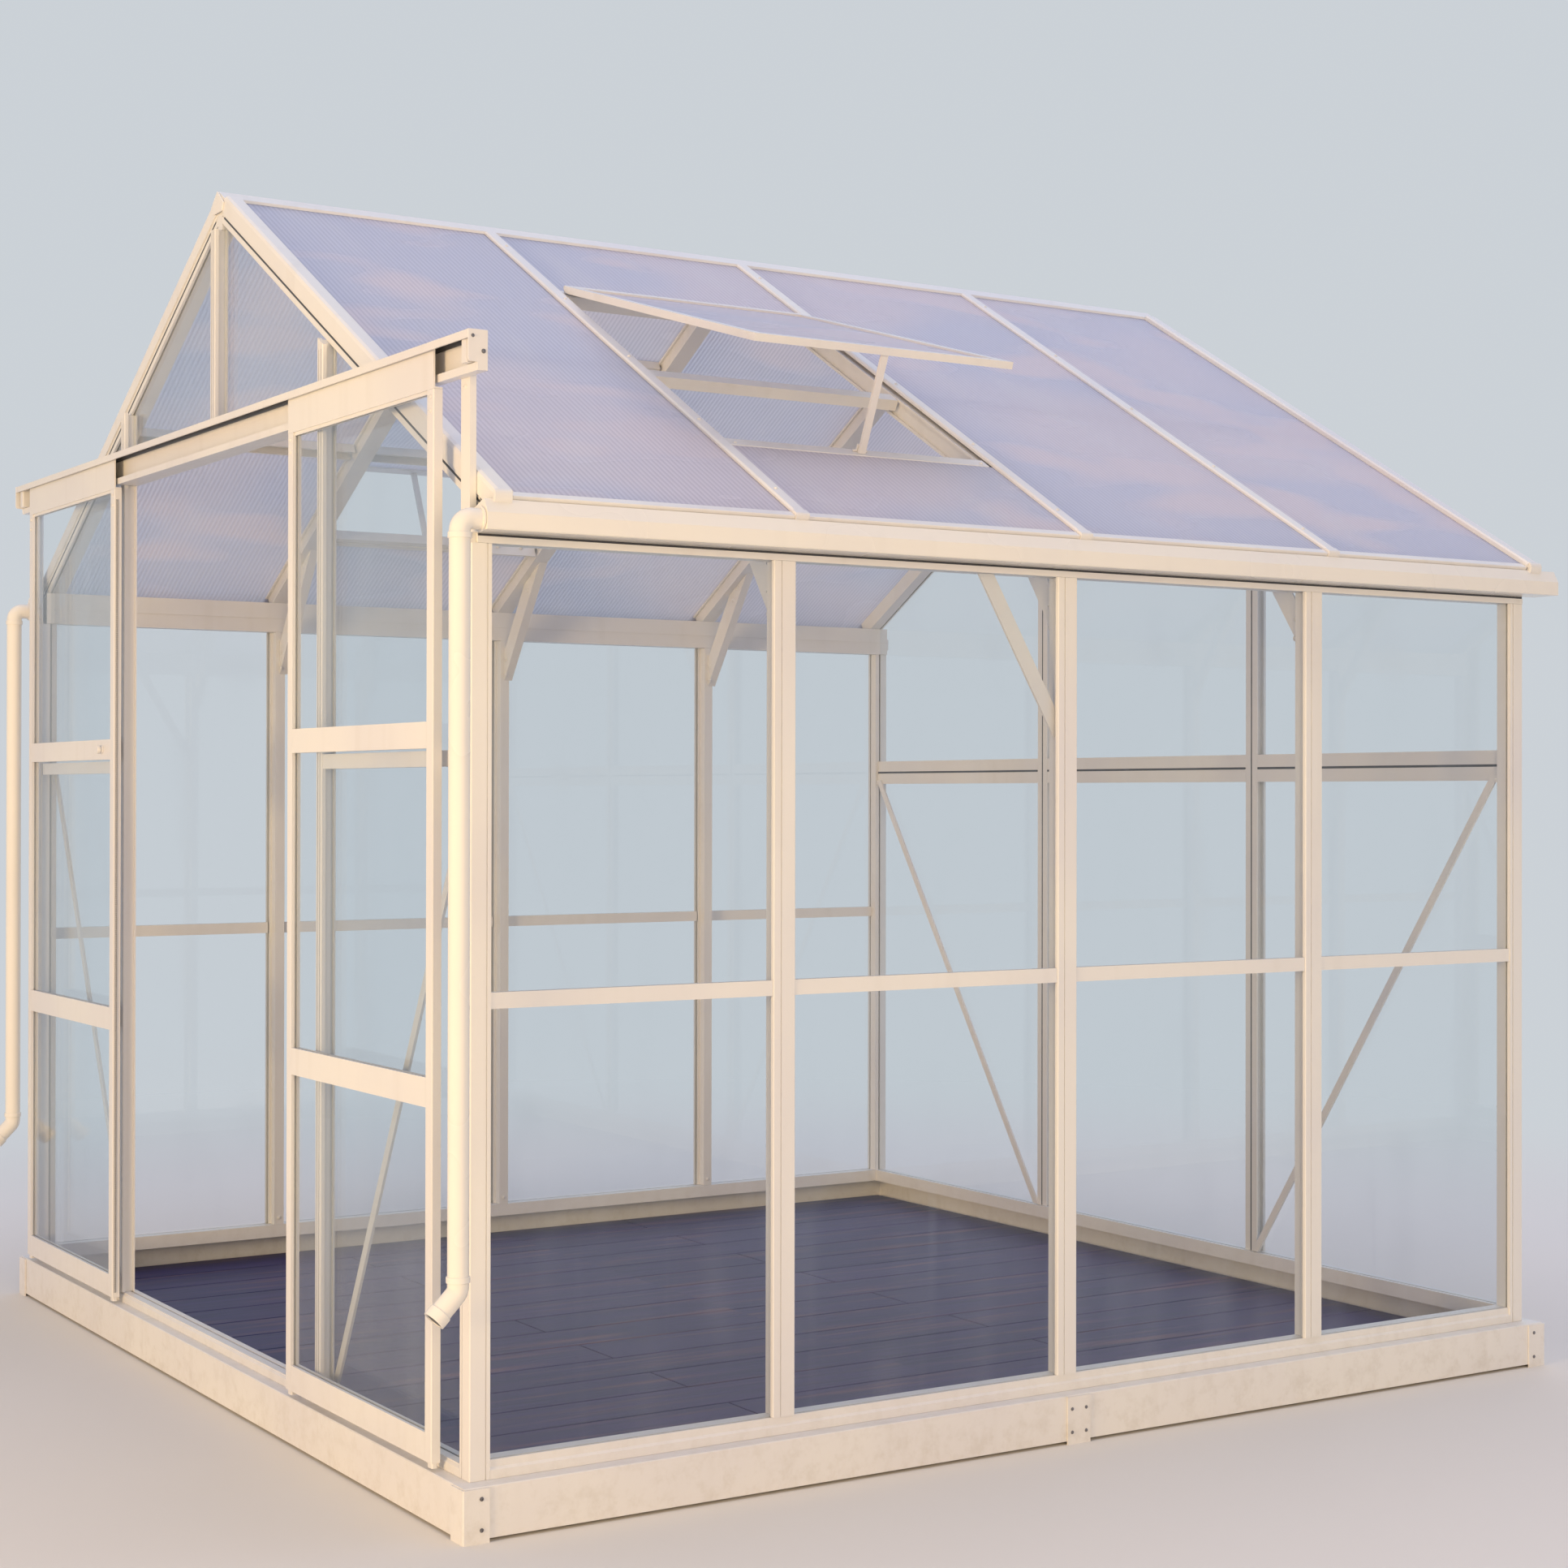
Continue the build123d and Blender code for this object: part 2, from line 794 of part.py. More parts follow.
with BuildPart() as vent_props:
    for (plane, hand), sash in zip(slopes, sash_planes):
        foot = plane.origin + plane.x_dir * (vent_bottom_x / cosine)
        foot = foot + plane.z_dir * (vent_bar_rise + seat)
        head = sash.origin + sash.x_dir * (sash_length - sash_bar / 2) - sash.z_dir * seat
        foot_edge = foot + plane.x_dir * prop_thickness
        head_edge = head + sash.x_dir * prop_thickness
        with BuildSketch(Plane.XZ.offset(-vent_mid - prop_width / 2)):
            with BuildLine():
                Polyline(
                    (foot.X, foot.Z),
                    (foot_edge.X, foot_edge.Z),
                    (head_edge.X, head_edge.Z),
                    (head.X, head.Z),
                    close=True,
                )
            make_face()
        extrude(amount=prop_width)
vent_props.part.label = "vent_props"
export_step(vent_props.part, "parts/vent_props.step")

# Knee braces: an angle from each side post up to the roof bar above it
knee_face = inner_x - seat
knee_slope = math.tan(math.radians(knee_angle))
knee_low = wall_top - knee_drop
knee_edge = knee_flange_steel / math.cos(math.radians(knee_angle))


def knee_head(z):
    return (under_roof(0, roof_under + seat) - z - knee_face * knee_slope) / (slope - knee_slope)


with BuildPart() as knee_braces:
    for side in (1, -1):
        for y in stations:
            for rise, start, thickness in (
                (knee_foot, y - knee_steel / 2, knee_steel),
                (knee_edge, y + knee_steel / 2, knee_flange),
            ):
                inner_head = knee_head(knee_low)
                outer_head = knee_head(knee_low + rise)
                with BuildSketch(Plane.XZ.offset(-start)):
                    with BuildLine():
                        Polyline(
                            (side * knee_face, knee_low),
                            (side * knee_face, knee_low + rise),
                            (side * outer_head, under_roof(outer_head, roof_under + seat)),
                            (side * inner_head, under_roof(inner_head, roof_under + seat)),
                            close=True,
                        )
                    make_face()
                extrude(amount=-thickness)
    wall_brace_y = stations[1] - post_web / 2 - seat
    wall_brace_rise = wall_brace_foot * wall_brace_drop / wall_brace_run
    with BuildSketch(Plane.YZ.offset(wall_x - side_pane - slot - bead - seat - wall_brace_steel)):
        with BuildLine():
            Polyline(
                (wall_brace_y, wall_top - seat - wall_brace_drop),
                (wall_brace_y, wall_top - seat - wall_brace_drop + wall_brace_rise),
                (wall_brace_y - wall_brace_run + wall_brace_foot, wall_top - seat),
                (wall_brace_y - wall_brace_run, wall_top - seat),
                close=True,
            )
        make_face()
    extrude(amount=wall_brace_steel)
knee_braces.part.label = "knee_braces"
export_step(knee_braces.part, "parts/knee_braces.step")

# Studs in the front gable: two jambs, and the centre stud that stands on the head rail
stud_profile = upright_profile(stud_width, stud_web, stud_bead, gable_pane, 0)
with BuildPart() as front_studs:
    for places, bottom, top in (
        ([(jamb_x, -wall_y), (-jamb_x, -wall_y)], threshold_top + seat, ridge_top),
        ([(0, -wall_y)], head_rail_top + seat, ridge_beam_bottom - seat),
    ):
        with BuildSketch(Plane.XY.offset(bottom)):
            with Locations(*places):
                Polygon(*stud_profile, align=None)
                with Locations((stud_groove, 0), (-stud_groove, 0)):
                    Rectangle(groove, 2 * groove_depth, mode=Mode.SUBTRACT)
        extrude(amount=top - bottom)
    add(roof_space.part, mode=Mode.SUBTRACT)
front_studs.part.label = "front_studs"
export_step(front_studs.part, "parts/front_studs.step")

# Angle uprights on the corner posts that hold the ends of the track
upright_outer = wall_x - upright_inset
with BuildPart() as track_uprights:
    with BuildSketch(Plane.XY.offset(wall_top)):
        with BuildLine():
            Polyline(
                (upright_outer - upright_width, -wall_y),
                (upright_outer, -wall_y),
                (upright_outer, upright_depth - wall_y),
                (upright_outer - upright_steel, upright_depth - wall_y),
                (upright_outer - upright_steel, upright_steel - wall_y),
                (upright_outer - upright_width, upright_steel - wall_y),
                close=True,
            )
        make_face()
        mirror(about=Plane.YZ)
    extrude(amount=track_top - wall_top)
track_uprights.part.label = "track_uprights"
export_step(track_uprights.part, "parts/track_uprights.step")

# Mid rails of the fixed front panels, and the head rail behind the track
front_rail_low = jamb_x + stud_width / 2 + seat
front_rail_high = corner_x - seat
doorway_half = jamb_x - stud_width / 2 - seat
front_rail_profile = rail_profile(front_rail_top, front_rail_height, stud_depth, gable_pane)
with BuildPart() as front_rails:
    for start in (front_rail_low, -front_rail_high):
        with BuildSketch(Plane.YZ.offset(start)):
            with BuildLine():
                Polyline(*[(depth - wall_y, z) for depth, z in front_rail_profile], close=True)
            make_face()
        extrude(amount=front_rail_high - front_rail_low)
    with BuildSketch(Plane.YZ):
        with BuildLine():
            Polyline(
                (-wall_y, track_bottom),
                (stud_depth - wall_y, track_bottom),
                (stud_depth - wall_y, head_rail_top),
                (gable_pane + slot - wall_y, head_rail_top),
                (gable_pane + slot - wall_y, head_rail_top - slot_depth),
                (gable_pane - wall_y, head_rail_top - slot_depth),
                (gable_pane - wall_y, head_rail_top),
                (-wall_y, head_rail_top),
                close=True,
            )
        make_face()
    extrude(amount=doorway_half, both=True)
front_rails.part.label = "front_rails"
export_step(front_rails.part, "parts/front_rails.step")

# Rear studs with a groove down both faces
rear_profile = upright_profile(rear_stud_width, rear_stud_web, rear_stud_width, gable_pane, 0)
rear_places = [Location((side * rear_stud_x, wall_y, 0), (0, 0, 180)) for side in (1, -1)]
with BuildPart() as rear_studs:
    with BuildSketch(Plane.XY.offset(sill_top + seat)):
        with Locations(*rear_places):
            Polygon(*rear_profile, align=None)
            with Locations((0, 0), (0, stud_depth)):
                Rectangle(groove, 2 * groove_depth, mode=Mode.SUBTRACT)
    extrude(amount=ridge_top - sill_top)
    add(roof_space.part, mode=Mode.SUBTRACT)
rear_studs.part.label = "rear_studs"
export_step(rear_studs.part, "parts/rear_studs.step")

# Deep rear rail, grooved half way up both faces
rear_flange_half = rear_stud_width / 2 + seat
rear_rail_bays = [
    (-corner_x + seat, -rear_stud_x - rear_flange_half),
    (rear_flange_half - rear_stud_x, rear_stud_x - rear_flange_half),
    (rear_stud_x + rear_flange_half, corner_x - seat),
]
rear_rail_profile = rail_profile(rear_rail_top, rear_rail_height, stud_depth, gable_pane)
with BuildPart() as rear_rails:
    for low, high in rear_rail_bays:
        with BuildSketch(Plane.YZ.offset(low)):
            with BuildLine():
                Polyline(*[(wall_y - depth, z) for depth, z in rear_rail_profile], close=True)
            make_face()
            with Locations((0, rear_rail_top - rear_rail_height / 2)):
                with Locations((wall_y - rail_recess, 0), (wall_y - stud_depth, 0)):
                    Rectangle(2 * groove_depth, groove, mode=Mode.SUBTRACT)
        extrude(amount=high - low)
rear_rails.part.label = "rear_rails"
export_step(rear_rails.part, "parts/rear_rails.step")

# Diagonal braces across the lower panels of both gables, inside the studs and rails
with BuildPart() as gable_braces:
    for plane_y, rail_low, foot_x in (
        (stud_depth + seat + brace_depth - wall_y, front_rail_top - front_rail_height, front_rail_low),
        (wall_y - stud_depth - seat, rear_rail_top - rear_rail_height, rear_rail_bays[2][0]),
    ):
        for sign in (1, -1):
            with BuildSketch(Plane.XZ.offset(-plane_y)):
                with BuildLine():
                    Polyline(
                        (sign * front_rail_high, rail_low + brace_lap),
                        (sign * (front_rail_high - brace_width), rail_low + brace_lap),
                        (sign * (foot_x - brace_lap), sill_top + brace_lift),
                        (sign * (foot_x - brace_lap + brace_width), sill_top + brace_lift),
                        close=True,
                    )
                make_face()
            extrude(amount=brace_depth)
gable_braces.part.label = "gable_braces"
export_step(gable_braces.part, "parts/gable_braces.step")

# Side wall panes, two to a bay, held in the slots round them
lower_pane = (sill_top - pane_lap, side_rail_top - side_rail_height + pane_lap)
upper_pane = (side_rail_top - pane_lap, wall_top + pane_lap)
side_pane_x = wall_x - side_pane - slot / 2
for side, name in ((1, "right_wall_glass"), (-1, "left_wall_glass")):
    with BuildPart() as wall_glass:
        for low, high in pane_bays:
            for bottom, top in (lower_pane, upper_pane):
                with BuildSketch(Plane.XY.offset(bottom)):
                    with Locations((side * side_pane_x, (low + high) / 2)):
                        Rectangle(glass, high - low)
                extrude(amount=top - bottom)
    wall_glass.part.label = name
    export_step(wall_glass.part, "parts/" + name + ".step")

# Front gable panes: two beside each jamb, and one each side of the centre stud
gable_pane_y = wall_y - gable_pane - slot / 2
pane_drop = roof_under - pane_lap
stud_web_half = stud_web / 2 + seat
side_low = jamb_x + stud_web_half
side_high = corner_x + pane_lap
beam_side = inner_x - seat
top_high = jamb_x - stud_web_half
beam_edge = half_beam + seat
with BuildPart() as front_glass:
    for sign in (1, -1):
        with BuildSketch(Plane.XZ.offset(gable_pane_y + glass / 2)):
            with BuildLine():
                Polyline(
                    (sign * side_low, threshold_top - pane_lap),
                    (sign * side_high, threshold_top - pane_lap),
                    (sign * side_high, front_rail_top - front_rail_height + pane_lap),
                    (sign * side_low, front_rail_top - front_rail_height + pane_lap),
                    close=True,
                )
            make_face()
            with BuildLine():
                Polyline(
                    (sign * side_low, front_rail_top - pane_lap),
                    (sign * side_high, front_rail_top - pane_lap),
                    (sign * side_high, wall_top - seat),
                    (sign * beam_side, wall_top - seat),
                    (sign * beam_side, under_roof(beam_side, pane_drop)),
                    (sign * side_low, under_roof(side_low, pane_drop)),
                    close=True,
                )
            make_face()
            with BuildLine():
                Polyline(
                    (sign * stud_web_half, head_rail_top - pane_lap),
                    (sign * top_high, head_rail_top - pane_lap),
                    (sign * top_high, under_roof(top_high, pane_drop)),
                    (sign * beam_edge, under_roof(beam_edge, pane_drop)),
                    (sign * beam_edge, ridge_beam_bottom - seat),
                    (sign * stud_web_half, ridge_beam_bottom - seat),
                    close=True,
                )
            make_face()
        extrude(amount=-glass)
front_glass.part.label = "front_glass"
export_step(front_glass.part, "parts/front_glass.step")

# Rear gable panes, above and below the rail in three bays
rear_web_half = rear_stud_web / 2 + seat
rear_middle = rear_stud_x - rear_web_half
rear_low = rear_stud_x + rear_web_half
rear_pane_bottom = rear_rail_top - pane_lap
rear_lower = (sill_top - pane_lap, rear_rail_top - rear_rail_height + pane_lap)
with BuildPart() as rear_glass:
    with BuildSketch(Plane.XZ.offset(glass / 2 - gable_pane_y)):
        for low, high in ((-side_high, -rear_low), (-rear_middle, rear_middle), (rear_low, side_high)):
            with Locations(((low + high) / 2, (rear_lower[0] + rear_lower[1]) / 2)):
                Rectangle(high - low, rear_lower[1] - rear_lower[0])
        for sign in (1, -1):
            with BuildLine():
                Polyline(
                    (sign * rear_low, rear_pane_bottom),
                    (sign * side_high, rear_pane_bottom),
                    (sign * side_high, wall_top - seat),
                    (sign * beam_side, wall_top - seat),
                    (sign * beam_side, under_roof(beam_side, pane_drop)),
                    (sign * rear_low, under_roof(rear_low, pane_drop)),
                    close=True,
                )
            make_face()
        with BuildLine():
            Polyline(
                (-rear_middle, rear_pane_bottom),
                (rear_middle, rear_pane_bottom),
                (rear_middle, under_roof(rear_middle, pane_drop)),
                (beam_edge, under_roof(beam_edge, pane_drop)),
                (beam_edge, ridge_beam_bottom - seat),
                (-beam_edge, ridge_beam_bottom - seat),
                (-beam_edge, under_roof(beam_edge, pane_drop)),
                (-rear_middle, under_roof(rear_middle, pane_drop)),
                close=True,
            )
        make_face()
    extrude(amount=-glass)
rear_glass.part.label = "rear_glass"
export_step(rear_glass.part, "parts/rear_glass.step")

# Door track: a channel with a hooked top lip and an upturned lower lip that carries the rollers
track_back = -wall_y - seat
lip_front = front_face - track_reach
rail_front = front_face + rail_inset
rail_centre = rail_front + track_steel / 2
with BuildPart() as door_track:
    with BuildSketch(Plane.YZ):
        with BuildLine():
            Polyline(
                (track_back, track_bottom),
                (track_back, track_top),
                (lip_front, track_top),
                (lip_front, track_top - track_lip),
                (lip_front + track_steel, track_top - track_lip),
                (lip_front + track_steel, track_top - track_steel),
                (track_back - track_steel, track_top - track_steel),
                (track_back - track_steel, track_bottom + track_steel),
                (rail_front + track_steel, track_bottom + track_steel),
                (rail_front + track_steel, track_bottom + track_lip),
                (rail_front, track_bottom + track_lip),
                (rail_front, track_bottom),
                close=True,
            )
        make_face()
    extrude(amount=track_half, both=True)
door_track.part.label = "door_track"
export_step(door_track.part, "parts/door_track.step")

# Gutters: an upright face below a lip that leans in to the roof edge, closed at both ends
gutter_back = wall_x + seat
gutter_front = gutter_back + gutter_reach
gutter_bottom = wall_top + gutter_rise
gutter_top = gutter_bottom + gutter_height
gutter_shoulder = gutter_bottom + gutter_face
gutter_near = half_length - gutter_setback
gutter_far = half_length + gutter_overrun
with BuildPart() as gutters:
    with BuildSketch(Plane.XZ.offset(-gutter_far)):
        with BuildLine():
            Polyline(
                (gutter_back, gutter_bottom),
                (gutter_front - edge_break, gutter_bottom),
                (gutter_front, gutter_bottom + edge_break),
                (gutter_front, gutter_shoulder),
                (gutter_front - gutter_lean, gutter_top),
                (gutter_front - gutter_lean - gutter_steel, gutter_top),
                (gutter_front - gutter_steel, gutter_shoulder - edge_break),
                (gutter_front - gutter_steel, gutter_bottom + gutter_steel),
                (gutter_back + gutter_steel, gutter_bottom + gutter_steel),
                (gutter_back + gutter_steel, gutter_bottom + gutter_back_height),
                (gutter_back, gutter_bottom + gutter_back_height),
                close=True,
            )
        make_face()
        mirror(about=Plane.YZ)
    extrude(amount=gutter_far + gutter_near)
    for start in (gutter_far, gutter_end - gutter_near):
        with BuildSketch(Plane.XZ.offset(-start)):
            with BuildLine():
                Polyline(
                    (gutter_back, gutter_bottom),
                    (gutter_front - edge_break, gutter_bottom),
                    (gutter_front, gutter_bottom + edge_break),
                    (gutter_front, gutter_shoulder),
                    (gutter_front - gutter_lean, gutter_top),
                    (gutter_front - gutter_lean - gutter_steel, gutter_top),
                    (gutter_back, gutter_bottom + gutter_back_height),
                    close=True,
                )
            make_face()
            mirror(about=Plane.YZ)
        extrude(amount=gutter_end)
gutters.part.label = "gutters"
export_step(gutters.part, "parts/gutters.step")

# Downpipes swept from the gutter's near end to a kicked foot
pipe_x = gutter_front - pipe_inset
pipe_top = gutter_bottom + pipe_rise
pipe_run = front_face - pipe_reach
with BuildPart() as downpipes:
    for side in (1, -1):
        with BuildLine() as run:
            FilletPolyline(
                (side * pipe_x, -gutter_near - seat, pipe_top),
                (side * pipe_x, pipe_run, pipe_top),
                (side * pipe_x, pipe_run, pipe_foot),
                (side * pipe_x, pipe_run - pipe_kick, pipe_foot - pipe_kick),
                radius=pipe_bend,
            )
        with BuildSketch(Plane(origin=run.line @ 0, z_dir=run.line % 0)):
            Circle(pipe_radius)
        sweep()
downpipes.part.label = "downpipes"
export_step(downpipes.part, "parts/downpipes.step")

# Doors
door_y = front_face - door_front
door_top = track_top - fascia_drop - fascia_height
door_back = door_y + door_depth
slot_front = door_y + (door_depth - slot) / 2
slot_back = slot_front + slot
half_door = door_width / 2
roller_z = track_bottom + track_lip + seat + roller_tread
door_reach = track_half - half_door
door_centres = {"right": door_reach - right_parking, "left": left_parking - door_reach}
for name in ("right", "left"):
    centre = door_centres[name]
    rail_half = half_door - door_stile - seat
    door_pane_half = half_door - door_stile + pane_lap

    with BuildPart() as stiles:
        with BuildSketch(Plane(origin=(centre, 0, door_bottom), x_dir=(1, 0, 0), z_dir=(0, 0, 1))):
            with BuildLine():
                Polyline(
                    (half_door - door_stile, door_y),
                    (half_door - edge_break, door_y),
                    (half_door, door_y + edge_break),
                    (half_door, door_back),
                    (half_door - door_stile, door_back),
                    (half_door - door_stile, slot_back),
                    (half_door - door_stile + slot_depth, slot_back),
                    (half_door - door_stile + slot_depth, slot_front),
                    (half_door - door_stile, slot_front),
                    close=True,
                )
            make_face()
            mirror(about=Plane.YZ)
        extrude(amount=door_top - seat - door_bottom)
    stiles.part.label = name + "_door_stiles"
    export_step(stiles.part, "parts/" + name + "_door_stiles.step")

    with BuildPart() as rails:
        with BuildSketch(Plane.YZ.offset(centre)):
            for top, height, slot_below in (
                (upper_rail_top, upper_rail_height, True),
                (lower_rail_top, lower_rail_height, True),
                (door_bottom + bottom_rail_height, bottom_rail_height, False),
            ):
                with Locations((door_y + door_depth / 2, top - height / 2)):
                    Rectangle(door_depth, height)
                with Locations((door_y + door_depth / 2, top - slot_depth / 2)):
                    Rectangle(slot, slot_depth, mode=Mode.SUBTRACT)
                if slot_below:
                    with Locations((door_y + door_depth / 2, top - height + slot_depth / 2)):
                        Rectangle(slot, slot_depth, mode=Mode.SUBTRACT)
        extrude(amount=rail_half, both=True)
    rails.part.label = name + "_door_rails"
    export_step(rails.part, "parts/" + name + "_door_rails.step")

    with BuildPart() as header:
        with BuildSketch(Plane.YZ.offset(centre)):
            with BuildLine():
                Polyline(
                    (door_y, door_top),
                    (door_y, door_top + fascia_height),
                    (door_y + fascia_steel, door_top + fascia_height),
                    (door_y + fascia_steel, door_top + fascia_steel),
                    (door_back, door_top + fascia_steel),
                    (door_back, door_top),
                    close=True,
                )
            make_face()
        extrude(amount=half_door, both=True)
        with BuildSketch(Plane.YZ.offset(centre)):
            with Locations(
                (slot_front - glazing_lip / 2, door_top - pane_lap / 2),
                (slot_back + glazing_lip / 2, door_top - pane_lap / 2),
            ):
                Rectangle(glazing_lip, pane_lap)
        extrude(amount=rail_half, both=True)
    header.part.label = name + "_door_header"
    export_step(header.part, "parts/" + name + "_door_header.step")

    with BuildPart() as panes:
        for bottom, top in (
            (door_bottom + bottom_rail_height - pane_lap, lower_rail_top - lower_rail_height + pane_lap),
            (lower_rail_top - pane_lap, upper_rail_top - upper_rail_height + pane_lap),
            (upper_rail_top - pane_lap, door_top - seat),
        ):
            with BuildSketch(Plane.XY.offset(bottom)):
                with Locations((centre, door_y + door_depth / 2)):
                    Rectangle(2 * door_pane_half, glass)
            extrude(amount=top - bottom)
    panes.part.label = name + "_door_glass"
    export_step(panes.part, "parts/" + name + "_door_glass.step")

    with BuildPart() as rollers:
        for x in (centre - half_door + roller_inset, centre + half_door - roller_inset):
            with BuildSketch(Plane(origin=(x, 0, roller_z), x_dir=(0, 1, 0), z_dir=(1, 0, 0))):
                with BuildLine():
                    roller_groove = track_steel / 2 + roller_side_gap
                    cheek = roller_groove + roller_cheek
                    Polyline(
                        (door_y + fascia_steel + seat, 0),
                        (door_y + fascia_steel + seat, roller_axle),
                        (rail_centre - cheek, roller_axle),
                        (rail_centre - cheek, roller_flange),
                        (rail_centre - roller_groove, roller_flange),
                        (rail_centre - roller_groove, roller_tread),
                        (rail_centre + roller_groove, roller_tread),
                        (rail_centre + roller_groove, roller_flange),
                        (rail_centre + cheek, roller_flange),
                        (rail_centre + cheek, 0),
                        close=True,
                    )
                make_face()
            revolve(axis=Axis((x, 0, roller_z), (0, 1, 0)))
    rollers.part.label = name + "_door_rollers"
    export_step(rollers.part, "parts/" + name + "_door_rollers.step")

# Turn knob on the left door: a plate, a neck and a chamfered grip
knob_x = door_centres["left"] + half_door - knob_inset
knob_z = upper_rail_top - upper_rail_height / 2
knob_base = door_y - seat
with BuildPart() as door_knob:
    with BuildSketch(Plane(origin=(knob_x, 0, knob_z), x_dir=(0, 1, 0), z_dir=(1, 0, 0))):
        with BuildLine():
            Polyline(
                (knob_base, 0),
                (knob_base, knob_radius),
                (knob_base - knob_plate, knob_radius),
                (knob_base - knob_plate, knob_neck),
                (knob_base - 2 * knob_plate, knob_neck),
                (knob_base - 2 * knob_plate, knob_radius),
                (knob_base - knob_reach + edge_break, knob_radius),
                (knob_base - knob_reach, knob_radius - edge_break),
                (knob_base - knob_reach, 0),
                close=True,
            )
        make_face()
    revolve(axis=Axis((knob_x, 0, knob_z), (0, 1, 0)))
door_knob.part.label = "left_door_knob"
export_step(door_knob.part, "parts/left_door_knob.step")
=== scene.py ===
import json
import math

import bmesh
import bpy
from mathutils import Matrix, Vector


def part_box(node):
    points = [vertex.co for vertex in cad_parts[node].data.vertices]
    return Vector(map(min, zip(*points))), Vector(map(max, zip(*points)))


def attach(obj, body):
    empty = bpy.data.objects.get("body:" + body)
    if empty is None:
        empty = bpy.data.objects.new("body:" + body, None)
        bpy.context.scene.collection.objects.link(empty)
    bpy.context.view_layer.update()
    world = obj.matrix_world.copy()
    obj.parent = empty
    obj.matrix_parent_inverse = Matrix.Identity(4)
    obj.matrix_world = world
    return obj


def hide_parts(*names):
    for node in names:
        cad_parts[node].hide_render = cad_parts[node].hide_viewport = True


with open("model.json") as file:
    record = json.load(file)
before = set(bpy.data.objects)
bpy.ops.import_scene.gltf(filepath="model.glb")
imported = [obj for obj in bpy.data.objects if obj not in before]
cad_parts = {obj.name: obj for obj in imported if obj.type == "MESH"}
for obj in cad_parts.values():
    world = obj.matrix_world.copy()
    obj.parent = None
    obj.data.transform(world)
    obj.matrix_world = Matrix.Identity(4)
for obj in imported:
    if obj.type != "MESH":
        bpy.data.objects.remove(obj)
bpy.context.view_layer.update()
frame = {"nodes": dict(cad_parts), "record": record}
print("frame loaded:", len(frame["nodes"]), "nodes")


def corners(node):
    return [Vector(corner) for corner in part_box(node)]


# Camera: the photograph's place, direction and lens
cameraPlace = {
    "position": (4.8935, -2.9609, 1.1702),
    "heading": 57.700,      # degrees, turned from looking along +Y towards -X
    "pitch": 0.267,
    "roll": 0.099,
    "focalPixels": 3192.1,
    "imagePixels": 1932,
    "sensor": 36.0,
    "clipEnd": 200,
}


def placeCamera(place):
    heading, pitch, roll = (math.radians(place[k]) for k in ("heading", "pitch", "roll"))
    forward = Vector((-math.sin(heading) * math.cos(pitch), math.cos(heading) * math.cos(pitch), math.sin(pitch)))
    level = Vector((math.cos(heading), math.sin(heading), 0))
    upward = level.cross(forward)
    right = math.cos(roll) * level + math.sin(roll) * upward
    upward = -math.sin(roll) * level + math.cos(roll) * upward
    camera = bpy.data.objects.new("photoCamera", bpy.data.cameras.new("photoCamera"))
    camera.data.sensor_width = place["sensor"]
    camera.data.lens = place["focalPixels"] * place["sensor"] / place["imagePixels"]
    camera.data.clip_end = place["clipEnd"]
    camera.matrix_world = Matrix.Translation(place["position"]) @ Matrix(
        (right, upward, -forward)).transposed().to_4x4()
    bpy.context.scene.collection.objects.link(camera)
    bpy.context.scene.camera = camera


placeCamera(cameraPlace)
print("camera placed")


# Shader writing: a wire is one socket's output, and arithmetic on wires adds Math nodes
class Wire:
    def __init__(self, finish, socket):
        self.finish, self.socket = finish, socket

    def maths(self, operation, first, second=None, third=None):
        values = {i: v for i, v in enumerate((first, second, third)) if v is not None}
        return self.finish.node("Math", {"operation": operation}, values)

    def __add__(self, other): return self.maths("ADD", self, other)
    def __radd__(self, other): return self.maths("ADD", other, self)
    def __sub__(self, other): return self.maths("SUBTRACT", self, other)
    def __rsub__(self, other): return self.maths("SUBTRACT", other, self)
    def __mul__(self, other): return self.maths("MULTIPLY", self, other)
    def __rmul__(self, other): return self.maths("MULTIPLY", other, self)
    def __truediv__(self, other): return self.maths("DIVIDE", self, other)
    def __rtruediv__(self, other): return self.maths("DIVIDE", other, self)
    def __pow__(self, other): return self.maths("POWER", self, other)
    def __rpow__(self, other): return self.maths("POWER", other, self)
    def wave(self): return self.maths("SINE", self)
    def whole(self): return self.maths("FLOOR", self)
    def above(self, level): return self.maths("GREATER_THAN", self, level)
    def most(self, other): return self.maths("MAXIMUM", self, other)

    def ramp(self, low, high, start=0.0, end=1.0):
        return self.finish.node("MapRange", {"clamp": True, "interpolation_type": "SMOOTHSTEP"},
                                {0: self, 1: low, 2: high, 3: start, 4: end})


